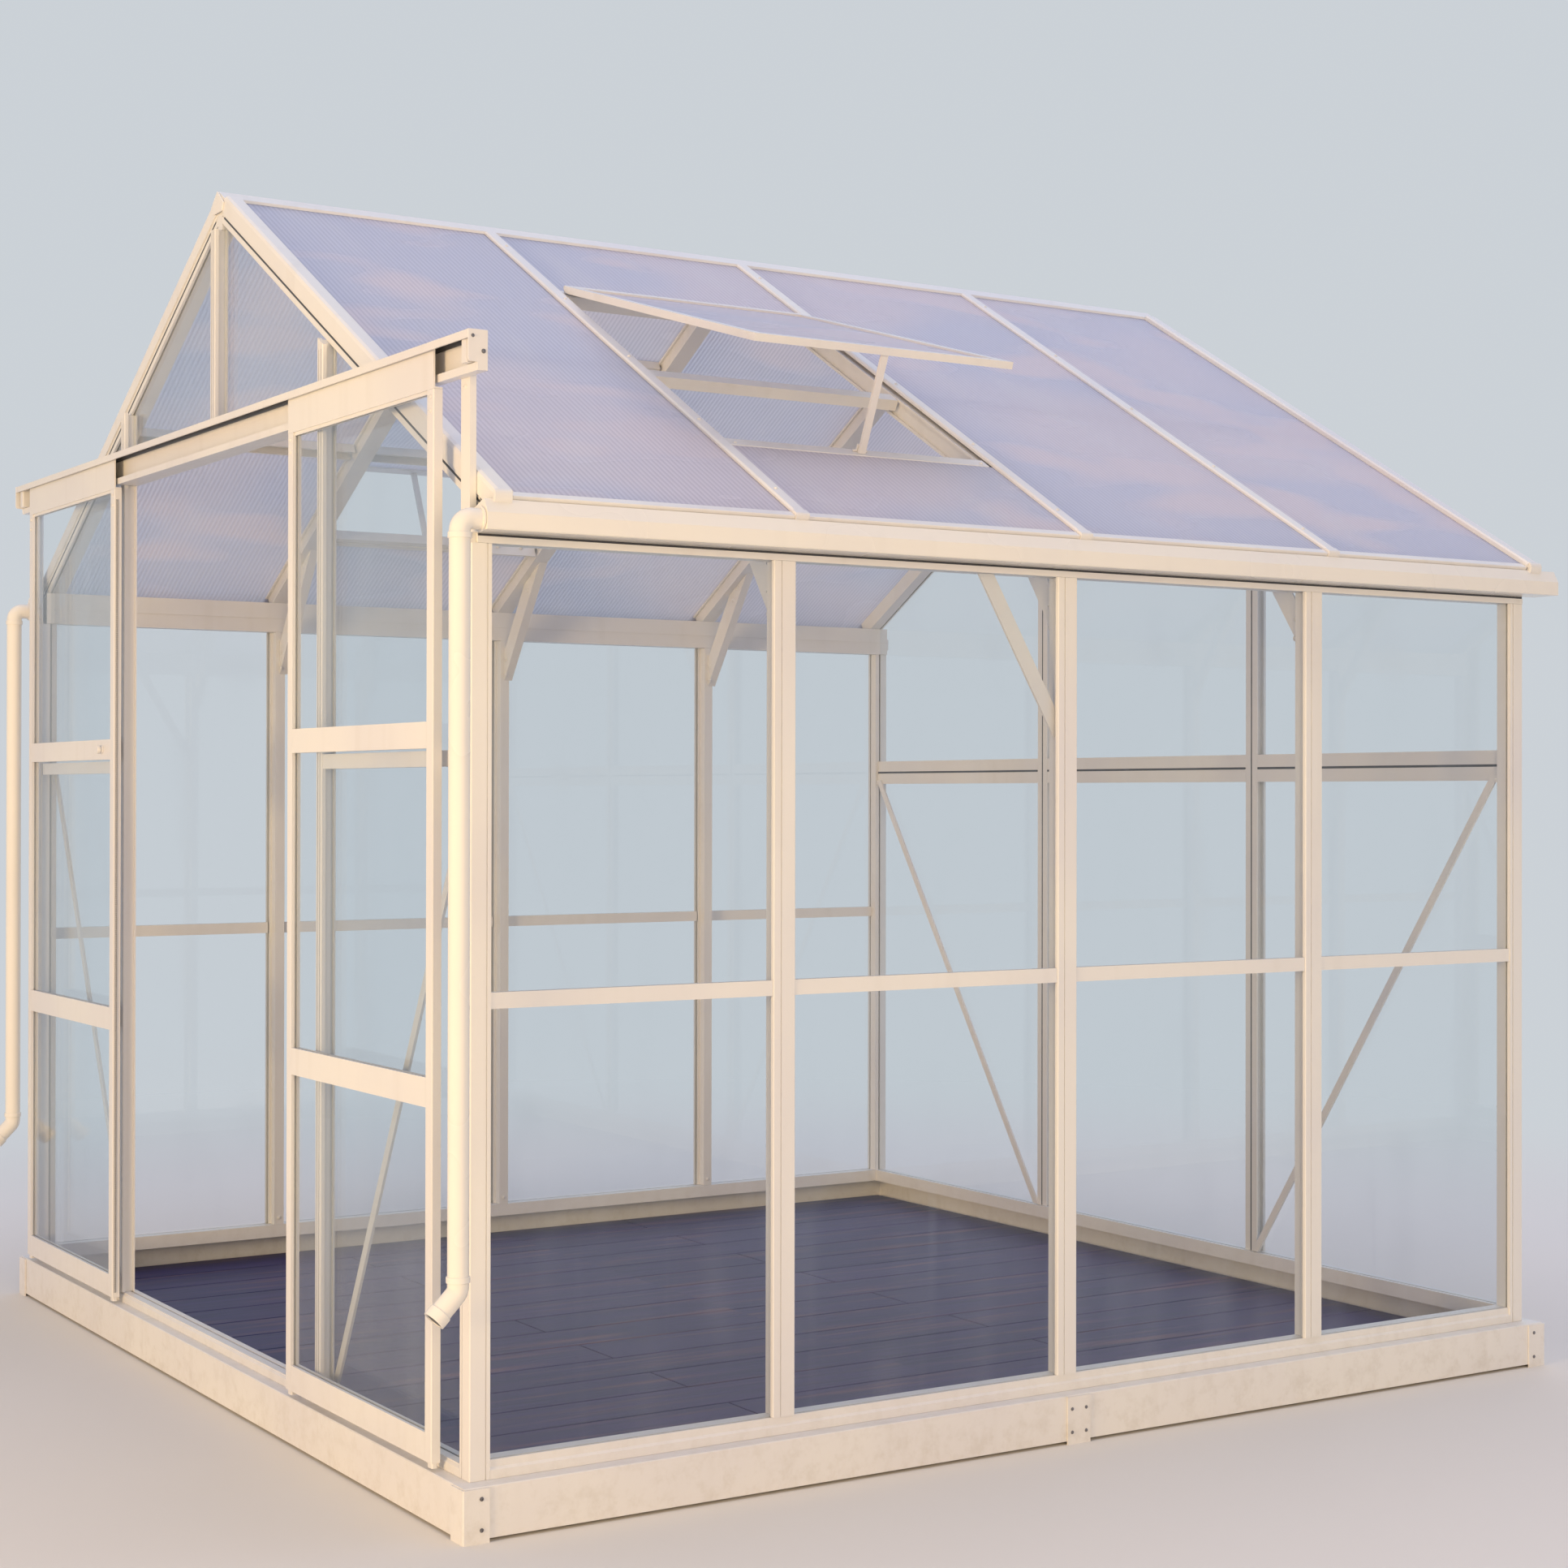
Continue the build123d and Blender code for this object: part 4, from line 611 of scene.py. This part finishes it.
def trimRoof(setup, sizes):
    strips, noses, ridge = bmesh.new(), bmesh.new(), bmesh.new()
    half = setup["capWidth"] / 2
    edgeInner = setup["halfLength"] - setup["edgeCapWidth"]
    clearBays = [(-edgeInner, -setup["station"] - half), (-setup["station"] + half, -half),
                 (half, setup["station"] - half), (setup["station"] + half, edgeInner)]
    short, wider, radius = sizes["stripShort"], sizes["noseWider"], sizes["edgeRadius"]
    angles = [math.pi / 2 - math.pi * i / sizes["edgeSteps"] for i in range(sizes["edgeSteps"] + 1)]
    roundEnd = [(radius * sizes["edgeFlat"] * math.cos(angle), radius * math.sin(angle)) for angle in angles]
    for side in ("right", "left"):
        along, upward = slopeAxes[side]
        for low, high in clearBays:
            pushBlock(strips, sizes["strip"], onSlope(side, sheetEnd, low + short, 0), along, upward,
                      (0, high - low - 2 * short, 0))
        for station in (-setup["station"], 0.0, setup["station"]):
            pushBlock(noses, sizes["nose"], onSlope(side, sheetEnd, station - half - wider, 0), along, upward,
                      (0, 2 * half + 2 * wider, 0))
        for end in (-1, 1):
            base = onSlope(side, sheetEnd - sizes["edgeBack"], end * setup["halfLength"], sizes["edgeTop"] - radius)
            pushBlock(noses, roundEnd, base, along, upward, (0, -end * sizes["edgeLength"], 0))
    drop, leg, taper = sizes["ridgeDrop"], sizes["ridgeLeg"], sizes["ridgeTaper"]
    shoulder = -leg * math.tan(math.radians(setup["pitch"])) - sizes["ridgeUnder"]
    endCap = [(-leg, shoulder), (0, sizes["ridgeTop"]), (leg, shoulder), (leg - taper, -drop), (-leg + taper, -drop)]
    for end in (-1, 1):
        pushBlock(ridge, endCap, (0, end * setup["halfLength"], setup["ridgeZ"]), (1, 0, 0), (0, 0, 1),
                  (0, end * sizes["ridgeSteel"], 0))
    addPiece("sheetEndStrips", strips)
    addPiece("gableCapNoses", noses)
    bmesh.ops.bevel(ridge, geom=list(ridge.edges), offset=sizes["ridgeBreak"], segments=1, affect="EDGES")
    addPiece("ridgeEndCaps", ridge)


trimRoof(roof, trim)

# Roof vents: knuckled hinges, prop eyes and the catch plate below each opening
vents = {
    "low": -0.5875, "high": -0.0225, "middle": -0.305,
    "hingeRadius": 0.0052, "hingeBreak": 0.0006, "hingeDown": -0.004, "hingeRise": 0.0105, "knuckles": 8,
    "knuckleGap": 0.0016, "knuckleInset": 0.0008, "hingeSteps": 14, "pegSteps": 12,
    "plateMiddle": -0.097, "plateLength": 0.145, "plateWidth": 0.040, "plateRise": -0.026, "plateBack": 0.0155,
    "plateSlant": 0.026, "plateSteel": 0.003,
    "pegs": (-0.030, 0.034), "pegLean": (0.45, 0.55, 0.75),
    "peg": [(0, 0), (0, 0.0042), (0.020, 0.0042), (0.022, 0.0032), (0.022, 0)],
    "eye": [(-0.016, 0), (0.016, 0), (0.016, 0.003), (0.009, 0.003), (0.009, 0.014), (-0.009, 0.014),
            (-0.009, 0.003), (-0.016, 0.003)],
    "eyeDown": 0.003, "eyeRise": 0.0016, "eyeBack": 0.009, "eyeSteel": 0.004,
}


def dressVents(setup):
    hinges, catches, eyes = bmesh.new(), bmesh.new(), bmesh.new()
    radius, rounded = setup["hingeRadius"], setup["hingeRadius"] - setup["hingeBreak"]
    pitch = (setup["high"] - setup["low"]) / setup["knuckles"]
    knuckleEnd = pitch - setup["knuckleGap"]
    knuckle = [(0, 0), (0, rounded), (setup["hingeBreak"], radius), (knuckleEnd - setup["hingeBreak"], radius),
               (knuckleEnd, rounded), (knuckleEnd, 0)]
    half, wide = setup["plateLength"] / 2, setup["plateWidth"] / 2
    plate = [(-half + setup["plateSlant"], -wide), (half, -wide), (half, wide), (-half, wide)]
    for side in ("right", "left"):
        along, upward = slopeAxes[side]
        top, bottom = roof["ventTop"] / cosine, roof["ventBottom"] / cosine
        hinge = onSlope(side, top + setup["hingeDown"], 0, setup["hingeRise"])
        for i in range(setup["knuckles"]):
            start = setup["low"] + i * pitch + setup["knuckleInset"]
            turnForm(hinges, knuckle, hinge + Vector((0, start, 0)), (0, 1, 0), setup["hingeSteps"])
        # the catch plate hangs on the room side of the lower vent bar, slanted at one end
        low = onSlope(side, bottom - setup["plateBack"], setup["plateMiddle"], setup["plateRise"])
        pushBlock(catches, plate, low, (0, 1, 0), upward, -along * setup["plateSteel"])
        sideways, off, back = setup["pegLean"]
        for offset in setup["pegs"]:
            foot = low + Vector((0, offset, 0)) - along * setup["plateSteel"]
            lean = (Vector((0, sideways, 0)) + upward * off - along * back).normalized()
            turnForm(catches, setup["peg"], foot, lean, setup["pegSteps"])
        foot = onSlope(side, bottom + setup["eyeDown"], setup["middle"], setup["eyeRise"])
        pushBlock(eyes, setup["eye"], foot - along * setup["eyeBack"], (0, 1, 0), upward, along * setup["eyeSteel"])
    addPiece("ventHinges", hinges)
    addPiece("ventCatches", catches)
    addPiece("propEyes", eyes)


dressVents(vents)
print("roof trimmed")


# Track: end plates, door stops and a dark strip in its top corner that paints the shadow under the hooked top lip
track = {
    "half": 1.235, "top": 1.895, "bottom": 1.832, "front": -1.230, "back": -1.1963, "cap": 0.0022, "capProud": 0.0006,
    "capBreak": 0.0006, "lipBack": -1.2142, "lipFront": -1.2285, "lipRise": 0.013, "lipEnd": 0.017,
    "stopWidth": 0.020, "stopPlace": 0.036, "stopBack": -1.2000, "stopFront": -1.2245, "stopLow": 0.014,
    "stopHigh": 0.006, "stopBreak": 0.002, "toeInset": 0.002, "toeFront": -1.2106, "toeLow": 0.003, "toeHigh": 0.0145,
    "strip": [(-1.2018, 1.8845), (-1.1995, 1.8845), (-1.1995, 1.8917), (-1.2030, 1.8917), (-1.2030, 1.8865)],
    "stripShort": 0.004,
}


def dressTrack(setup):
    caps, stops, strip = bmesh.new(), bmesh.new(), bmesh.new()
    back, front, bottom = setup["back"], setup["front"] - setup["capProud"], setup["bottom"]
    top, width = setup["top"] + setup["capProud"], setup["stopWidth"]
    plate = [(back, bottom), (setup["lipBack"], bottom), (setup["lipBack"], bottom + setup["lipRise"]),
             (setup["lipFront"], bottom + setup["lipRise"]), (front, bottom + setup["lipEnd"]), (front, top),
             (back, top)]
    for end in (-1, 1):
        pushBlock(caps, plate, (end * setup["half"], 0, 0), (0, 1, 0), (0, 0, 1), (end * setup["cap"], 0, 0))
        inner = end * (setup["half"] - setup["stopPlace"])
        low = min(inner, inner + end * width)
        pushBox(stops, (low, setup["stopFront"], bottom + setup["stopLow"]),
                (low + width, setup["stopBack"], setup["top"] - setup["stopHigh"]), setup["stopBreak"])
        pushBox(stops, (low + setup["toeInset"], setup["toeFront"], bottom + setup["toeLow"]),
                (low + width - setup["toeInset"], setup["stopBack"], bottom + setup["toeHigh"]),
                setup["stopBreak"] / 2)
    bmesh.ops.bevel(caps, geom=list(caps.edges), offset=setup["capBreak"], segments=1, affect="EDGES")
    # the dark strip under the top lip is painted shadow
    reach = setup["half"] - setup["stripShort"]
    pushBlock(strip, setup["strip"], (-reach, 0, 0), (0, 1, 0), (0, 0, 1), (2 * reach, 0, 0))
    addPiece("trackStrip", strip, slot="roller")
    addPiece("trackEndPlates", caps)
    addPiece("doorStops", stops)


dressTrack(track)

# Dark strips in the grooves of the eave beams, rafters, studs and the deep rear rail are painted shadow where the
# grooves lie in shade
strips = {
    "inset": 0.001,    # kept back from each end of a groove
    "bead": [(0.0001, 0.0002), (0.0011, 0.0007), (0.0014, 0.0020), (0.0011, 0.0033), (0.0001, 0.0038)],
    "beamFloor": 0.002, "beamLow": 0.011,
    "stem": 0.0018, "stemHalf": 0.0010, "back": 0.0001, "proud": 0.0004, "lean": 0.0003,
    "railFace": 0.0026, "studFace": 0.0019, "rafterFace": 0.0022,
    "stud": 0.392, "studHalf": 0.0195, "studDrop": 0.032,
    "rafterRise": -0.0312, "rafterShort": 0.045,
    "cord": [(-0.0019, -0.0011), (-0.0006, -0.0011), (-0.0003, 0), (-0.0006, 0.0011), (-0.0019, 0.0011)],
    "jamb": 0.551, "jambGroove": 0.005, "jambTop": 1.966, "headRail": 1.8583, "underRidge": 0.002,
}


def fillGrooves(setup):
    shape = bmesh.new()
    inset = setup["inset"]

    # a flat face half this wide, on a stem that sits in the groove
    def tee(half):
        thin, back, proud, lean = setup["stemHalf"], setup["back"], setup["proud"], setup["lean"]
        return [(-setup["stem"], -thin), (back, -thin), (back, -half), (proud, lean - half), (proud, half - lean),
                (back, half), (back, thin), (-setup["stem"], thin)]

    low, high = corners("eave_beams")
    for side in (1, -1):
        origin = (side * (high.x - setup["beamFloor"]), low.y + inset, low.z + setup["beamLow"])
        pushBlock(shape, setup["bead"], origin, (side, 0, 0), (0, 0, 1), (0, high.y - low.y - 2 * inset, 0))
    low, high = corners("rear_rails")
    inner, outer = setup["stud"] - setup["studHalf"], setup["stud"] + setup["studHalf"]
    for start, end in ((low.x, -outer), (-inner, inner), (outer, high.x)):
        for face, out in ((low.y, -1), (high.y, 1)):
            pushBlock(shape, tee(setup["railFace"]), (start + inset, face, (low.z + high.z) / 2), (0, out, 0),
                      (0, 0, 1), (end - start - 2 * inset, 0, 0))
    low, high = corners("rear_studs")
    rise = high.z - low.z - setup["studDrop"]
    for x in (-setup["stud"], setup["stud"]):
        for face, out in ((low.y, -1), (high.y, 1)):
            pushBlock(shape, tee(setup["studFace"]), (x, face, low.z + inset), (0, out, 0), (1, 0, 0), (0, 0, rise))
    short = setup["rafterShort"]
    for side in ("right", "left"):
        along, upward = slopeAxes[side]
        for end in (-1, 1):
            pushBlock(shape, tee(setup["rafterFace"]), onSlope(side, short, end * rafterFace, setup["rafterRise"]),
                      (0, end, 0), upward, along * (sheetEnd - 2 * short))
    low = corners("front_studs")[0]
    ridgeUnder = corners("ridge_beam")[0].z - setup["underRidge"]
    for x, start, end in ((-setup["jamb"], low.z, setup["jambTop"]), (setup["jamb"], low.z, setup["jambTop"]),
                          (0, setup["headRail"], ridgeUnder)):
        for groove in (-setup["jambGroove"], setup["jambGroove"]):
            pushBlock(shape, setup["cord"], (x + groove, low.y, start + inset), (0, -1, 0), (1, 0, 0),
                      (0, 0, end - start - 2 * inset))
    addPiece("grooveStrips", shape, slot="roller")


fillGrooves(strips)

# Downpipes: each turned outline is (along the pipe, out from its own radius)
pipes = {
    "x": 1.2223, "y": -1.237, "top": 1.602, "radius": 0.017, "foot": 0.400, "kick": 0.040, "gutterEnd": -1.2035,
    "upperRing": -0.032, "lowerRing": 0.014, "steps": 36,
    "ring": [(0, -0.001), (0, 0.0012), (0.0008, 0.0020), (0.0092, 0.0020), (0.0100, 0.0012), (0.0100, -0.001)],
    "flange": [(-0.0005, -0.003), (-0.0005, 0.0035), (0.0025, 0.0035), (0.0032, 0.0025), (0.0032, -0.003)],
    "lip": [(-0.016, -0.001), (-0.016, 0.0012), (-0.0150, 0.0020), (0.0012, 0.0020), (0.0018, 0.0014),
            (0.0018, -0.0020), (-0.0005, -0.0024)],
    "mouthRadius": 0.0148, "mouthBack": -0.001, "mouthProud": 0.0003,
}


def dressPipes(setup):
    sleeves, mouthShadows = bmesh.new(), bmesh.new()
    radius, steps, mouth = setup["radius"], setup["steps"], setup["mouthRadius"]
    disc = [(setup["mouthBack"], 0), (setup["mouthBack"], mouth), (setup["mouthProud"], mouth),
            (setup["mouthProud"], 0)]
    ring, flange, lip = ([(reach, radius + out) for reach, out in setup[form]] for form in ("ring", "flange", "lip"))
    down = Vector((0, -1, -1)).normalized()
    for side in (1, -1):
        x, y = side * setup["x"], setup["y"]
        turnForm(sleeves, flange, (x, setup["gutterEnd"], setup["top"]), (0, 1, 0), steps)
        turnForm(sleeves, ring, (x, y, setup["top"] + setup["upperRing"]), (0, 0, 1), steps)
        turnForm(sleeves, ring, (x, y, setup["foot"] + setup["lowerRing"]), (0, 0, 1), steps)
        end = Vector((x, y - setup["kick"], setup["foot"] - setup["kick"]))
        turnForm(sleeves, lip, end, down, steps)
        # a dark disc set in each open foot is painted shade inside the pipe
        turnForm(mouthShadows, disc, end, down, steps)
    addPiece("pipeSleeves", sleeves, slot="rain_goods")
    addPiece("pipeMouths", mouthShadows, slot="rain_goods", material=finishes["roller"])


dressPipes(pipes)
print("track and pipes dressed")


# Doors: two rows of bristles on each meeting edge, and guide shoes under the stiles
doors = {
    "top": 1.800, "bottom": 0.112, "tuftPitch": 0.004, "tuftShare": 0.8, "sealIn": 0.004,
    "tufts": ([(0, 0), (0, 0.0009), (0.0022, 0.0010), (0.0022, 0.0002)],
              [(0, 0.003), (0, 0.0039), (0.0020, 0.0041), (0.0020, 0.0031)]),
    "shoeIn": 0.012, "shoeHalf": 0.009, "shoeFront": 0.003, "shoeBack": 0.013, "shoeDrop": 0.009, "shoeGap": 0.0001,
    "shoeBreak": 0.002,
}


def dressDoors(setup):
    tuftHeight = setup["tuftPitch"] * setup["tuftShare"]
    for name, meets in (("right", -1), ("left", 1)):
        low, high = corners(name + "_door_stiles")
        edge = low.x if meets < 0 else high.x
        body = name + "_door"
        shape = bmesh.new()
        for outline in setup["tufts"]:
            pushBlock(shape, outline, (edge, low.y + setup["sealIn"], setup["bottom"]), (meets, 0, 0), (0, 1, 0),
                      (0, 0, tuftHeight))
        setRow(name + "DoorBrush", shape, int((setup["top"] - setup["bottom"]) / setup["tuftPitch"]), (0, 0, 0),
               (0, 0, setup["tuftPitch"]), body, "roller", pile)
        shoes = bmesh.new()
        half = setup["shoeHalf"]
        for x in (low.x + setup["shoeIn"], high.x - setup["shoeIn"]):
            pushBox(shoes, (x - half, low.y + setup["shoeFront"], low.z - setup["shoeDrop"]),
                    (x + half, low.y + setup["shoeBack"], low.z - setup["shoeGap"]), setup["shoeBreak"])
        addPiece(name + "DoorShoes", shoes, body)


dressDoors(doors)
print("doors dressed")


# Fasteners: one button head with a washer and a socket, set out at every joint
screws = {
    # a head of radius 1, turned: washer, dome and socket
    "head": [(0, 0), (0, 1.30), (0.10, 1.38), (0.22, 1.38), (0.30, 1.30), (0.30, 1.0), (0.42, 1.0), (0.62, 0.90),
             (0.76, 0.72), (0.82, 0.50), (0.82, 0.44), (0.45, 0.42), (0.45, 0)],
    "headSteps": 12,
    "basePlate": 1.2133, "baseCorner": 1.1913, "baseHeights": (0.021, 0.070), "baseRadius": 0.0026,
    "spliceHalf": 0.016, "spliceHeights": (0.022, 0.064), "spliceRadius": 0.0024,
    "posts": (-0.61, 0.0, 0.61), "postFace": 1.138, "postHeights": (0.135, 1.548), "postRadius": 0.0036,
    "braceFace": 1.128, "braceFoot": (1.482, 1.520), "braceHead": (1.722, 1.690), "braceBack": 0.002,
    "braceRadius": 0.0045, "braceX": 1.1377, "braceLow": 1.497, "braceLean": 55.5,
    "uprightX": 1.1555, "uprightFace": -1.196, "uprightHeights": (1.583, 1.606, 1.818), "uprightRadius": 0.0034,
    "trackTop": (-1.2225, 1.885, 0.0022), "trackEnd": (-1.2040, 1.862, 0.0028),    # y, z, radius
    "trackFace": (-1.1993, 1.862, 0.0030),
    "studX": 0.392, "studHalf": 0.012, "rearFace": 1.196, "rearHeights": (1.222, 1.251), "rearRadius": 0.0032,
    "railEnds": ((1.135, -1.1627, 1.218, 1), (1.137, 1.1627, 1.206, -1)), "railRadius": 0.0036,    # x, y, z, facing
    "ventPlaces": (-0.577, -0.033), "ventDown": 0.004, "ventRise": 0.001,
    "capDown": (0.12, 0.42, 0.72, 1.02, 1.32), "capRise": 0.0070, "smallRadius": 0.0030,
    "stileIn": 0.012, "stileDrops": (0.012, 0.034),
}


def setOutFasteners(setup):
    # heads of the base and the track are bare steel, those on the bars and doors are painted with them
    spots = {("frame", "bare"): [], ("frame", "painted"): [], ("right_door", "painted"): [],
             ("left_door", "painted"): []}

    def put(body, place, facing, radius, kind="painted"):
        spots[(body, kind)].append((Vector(place), Vector(facing).normalized(), radius))

    for sx in (1, -1):
        plate, upright = sx * setup["basePlate"], sx * setup["uprightX"]
        for sy in (1, -1):
            for z in setup["baseHeights"]:
                put("frame", (plate, sy * setup["baseCorner"], z), (sx, 0, 0), setup["baseRadius"], "bare")
        for y in (-setup["spliceHalf"], setup["spliceHalf"]):
            for z in setup["spliceHeights"]:
                put("frame", (plate, y, z), (sx, 0, 0), setup["spliceRadius"], "bare")
        # posts: fixed through their inner tail to the sill and the eave beam
        for y in setup["posts"]:
            for z in setup["postHeights"]:
                put("frame", (sx * setup["postFace"], y, z), (-sx, 0, 0), setup["postRadius"])
            for z in setup["braceFoot"]:
                put("frame", (sx * setup["braceFace"], y - setup["braceBack"], z), (0, -1, 0), setup["braceRadius"])
        for z in setup["uprightHeights"]:
            put("frame", (upright, setup["uprightFace"], z), (0, -1, 0), setup["uprightRadius"])
        end = sx * (track["half"] + track["cap"])
        for y, z, radius in (setup["trackTop"], setup["trackEnd"]):
            put("frame", (end, y, z), (sx, 0, 0), radius, "bare")
        y, z, radius = setup["trackFace"]
        put("frame", (upright, y, z), (0, -1, 0), radius, "bare")
        # rear studs and the jambs where the rails cross
        for z in setup["rearHeights"]:
            for x in (-setup["studHalf"], setup["studHalf"]):
                put("frame", (sx * setup["studX"] + x, setup["rearFace"], z), (0, 1, 0), setup["rearRadius"])
        for x, y, z, facing in setup["railEnds"]:
            put("frame", (sx * x, y, z), (0, facing, 0), setup["railRadius"])
    for side in ("right", "left"):
        upward = slopeAxes[side][1]
        hand = 1 if side == "right" else -1
        for y in setup["posts"]:
            for z in setup["braceHead"]:
                x = hand * (setup["braceX"] - (z - setup["braceLow"]) / math.tan(math.radians(setup["braceLean"])))
                put("frame", (x, y - setup["braceBack"], z), (0, -1, 0), setup["braceRadius"])
        for y in setup["ventPlaces"]:
            for down in (roof["ventTop"], roof["ventBottom"]):
                put("frame", onSlope(side, down / cosine + setup["ventDown"], y, setup["ventRise"]), upward,
                    setup["smallRadius"])
        # the glazing caps are screwed down to the bars
        for y in setup["posts"]:
            for down in setup["capDown"]:
                put("frame", onSlope(side, down, y, setup["capRise"]), upward, setup["smallRadius"])
    for name in ("right", "left"):
        low, high = corners(name + "_door_stiles")
        for x in (low.x + setup["stileIn"], high.x - setup["stileIn"]):
            for drop in setup["stileDrops"]:
                put(name + "_door", (x, low.y, high.z - drop), (0, -1, 0), setup["smallRadius"])
    shape = bmesh.new()
    turnForm(shape, setup["head"], (0, 0, 0), (0, 0, 1), setup["headSteps"])
    head = newObject("head", meshFrom("head", shape))
    for seed, ((body, kind), listed) in enumerate(spots.items()):
        mesh = bpy.data.meshes.new("fastenerSpots")
        mesh.from_pydata([spot[0] for spot in listed], [], [])
        mesh.attributes.new("facing", "FLOAT_VECTOR", "POINT")
        mesh.attributes.new("girth", "FLOAT", "POINT")
        for i, spot in enumerate(listed):    # read by name, since a new attribute moves the earlier ones
            mesh.attributes["facing"].data[i].vector = spot[1]
            mesh.attributes["girth"].data[i].value = spot[2]
        material = steel if kind == "bare" else finishes["frame"]
        fasteners.grow(body + "_fasteners_" + kind, mesh, {"Head": head, "Material": material, "Seed": seed + 3},
                       body, "frame")
    bpy.data.objects.remove(head)


setOutFasteners(screws)
print("fasteners set out")


# Studio: pale floor, soft warm key, cool fill, plain pale air behind
studio = {
    "floorColour": (0.80, 0.765, 0.70),
    "backdrop": (0.60, 0.64, 0.68),
    "worldColour": (0.76, 0.81, 1.0),
    "worldStrength": 0.46,
    "fadeFrom": 1.9, "fadeTo": 5.0, "floorHalf": 60, "aim": (0, 0, 1.0),
    "lamps": [
        {"name": "keyLamp", "from": (2.6, -7.4, 1.5), "size": 1.9, "power": 315, "colour": (1.0, 0.69, 0.34)},
        {"name": "fillLamp", "from": (7.6, -2.4, 1.9), "size": 3.2, "power": 208, "colour": (1.0, 0.72, 0.38)},
        {"name": "skyLamp", "from": (0.0, 1.0, 8.0), "size": 8.0, "power": 330, "colour": (0.72, 0.76, 1.0)},
        {"name": "backLamp", "from": (-5.0, 7.5, 3.2), "size": 4.0, "power": 120, "colour": (1.0, 0.93, 0.86)},
    ],
}


def seenRays(finish):
    camera, glossy, through = (finish.node("LightPath", output=label) for label in (
        "Is Camera Ray", "Is Glossy Ray", "Is Transmission Ray"))
    return camera.most(glossy).most(through)


def buildStudio(setup):
    scene = bpy.context.scene
    scene.view_settings.view_transform = "Standard"
    world = bpy.data.worlds.new("studioAir")
    scene.world = world
    world.use_nodes = True
    air = Finish("studioAir", tree=world.node_tree, output="OutputWorld")
    soft = air.node("Background", values={"Color": setup["worldColour"], "Strength": setup["worldStrength"]})
    plain = air.node("Background", values={"Color": setup["backdrop"], "Strength": 1.0})
    air.surface(air.node("MixShader", values={0: seenRays(air), 1: soft, 2: plain}))
    for lamp in setup["lamps"]:
        light = bpy.data.lights.new(lamp["name"], "AREA")
        light.energy, light.color, light.size = lamp["power"], lamp["colour"], lamp["size"]
        holder = bpy.data.objects.new(lamp["name"], light)
        holder.location = lamp["from"]
        holder.rotation_euler = (Vector(setup["aim"]) - Vector(lamp["from"])).to_track_quat("-Z", "Y").to_euler()
        holder.visible_glossy = False
        scene.collection.objects.link(holder)
    shape = bmesh.new()
    bmesh.ops.create_grid(shape, x_segments=4, y_segments=4, size=setup["floorHalf"])
    mesh = bpy.data.meshes.new("studioFloor")
    shape.to_mesh(mesh)
    shape.free()
    floor = newObject("studioFloor", mesh)
    finish = Finish("studioFloor", setup["floorColour"])
    x, y, height = finish.axes(finish.place())
    reach = (x * x + y * y) ** 0.5
    matt = finish.node("BsdfDiffuse", values={"Color": setup["floorColour"]})
    glow = finish.node("Emission", values={"Color": setup["backdrop"], "Strength": 1.0})
    share = seenRays(finish) * reach.ramp(setup["fadeFrom"], setup["fadeTo"])
    mesh.materials.append(finish.surface(finish.node("MixShader", values={0: share, 1: matt, 2: glow})))
    finish.material.cycles.emission_sampling = "NONE"    # its glow is only seen, so no light ray is sent to it


buildStudio(studio)
print("studio ready")
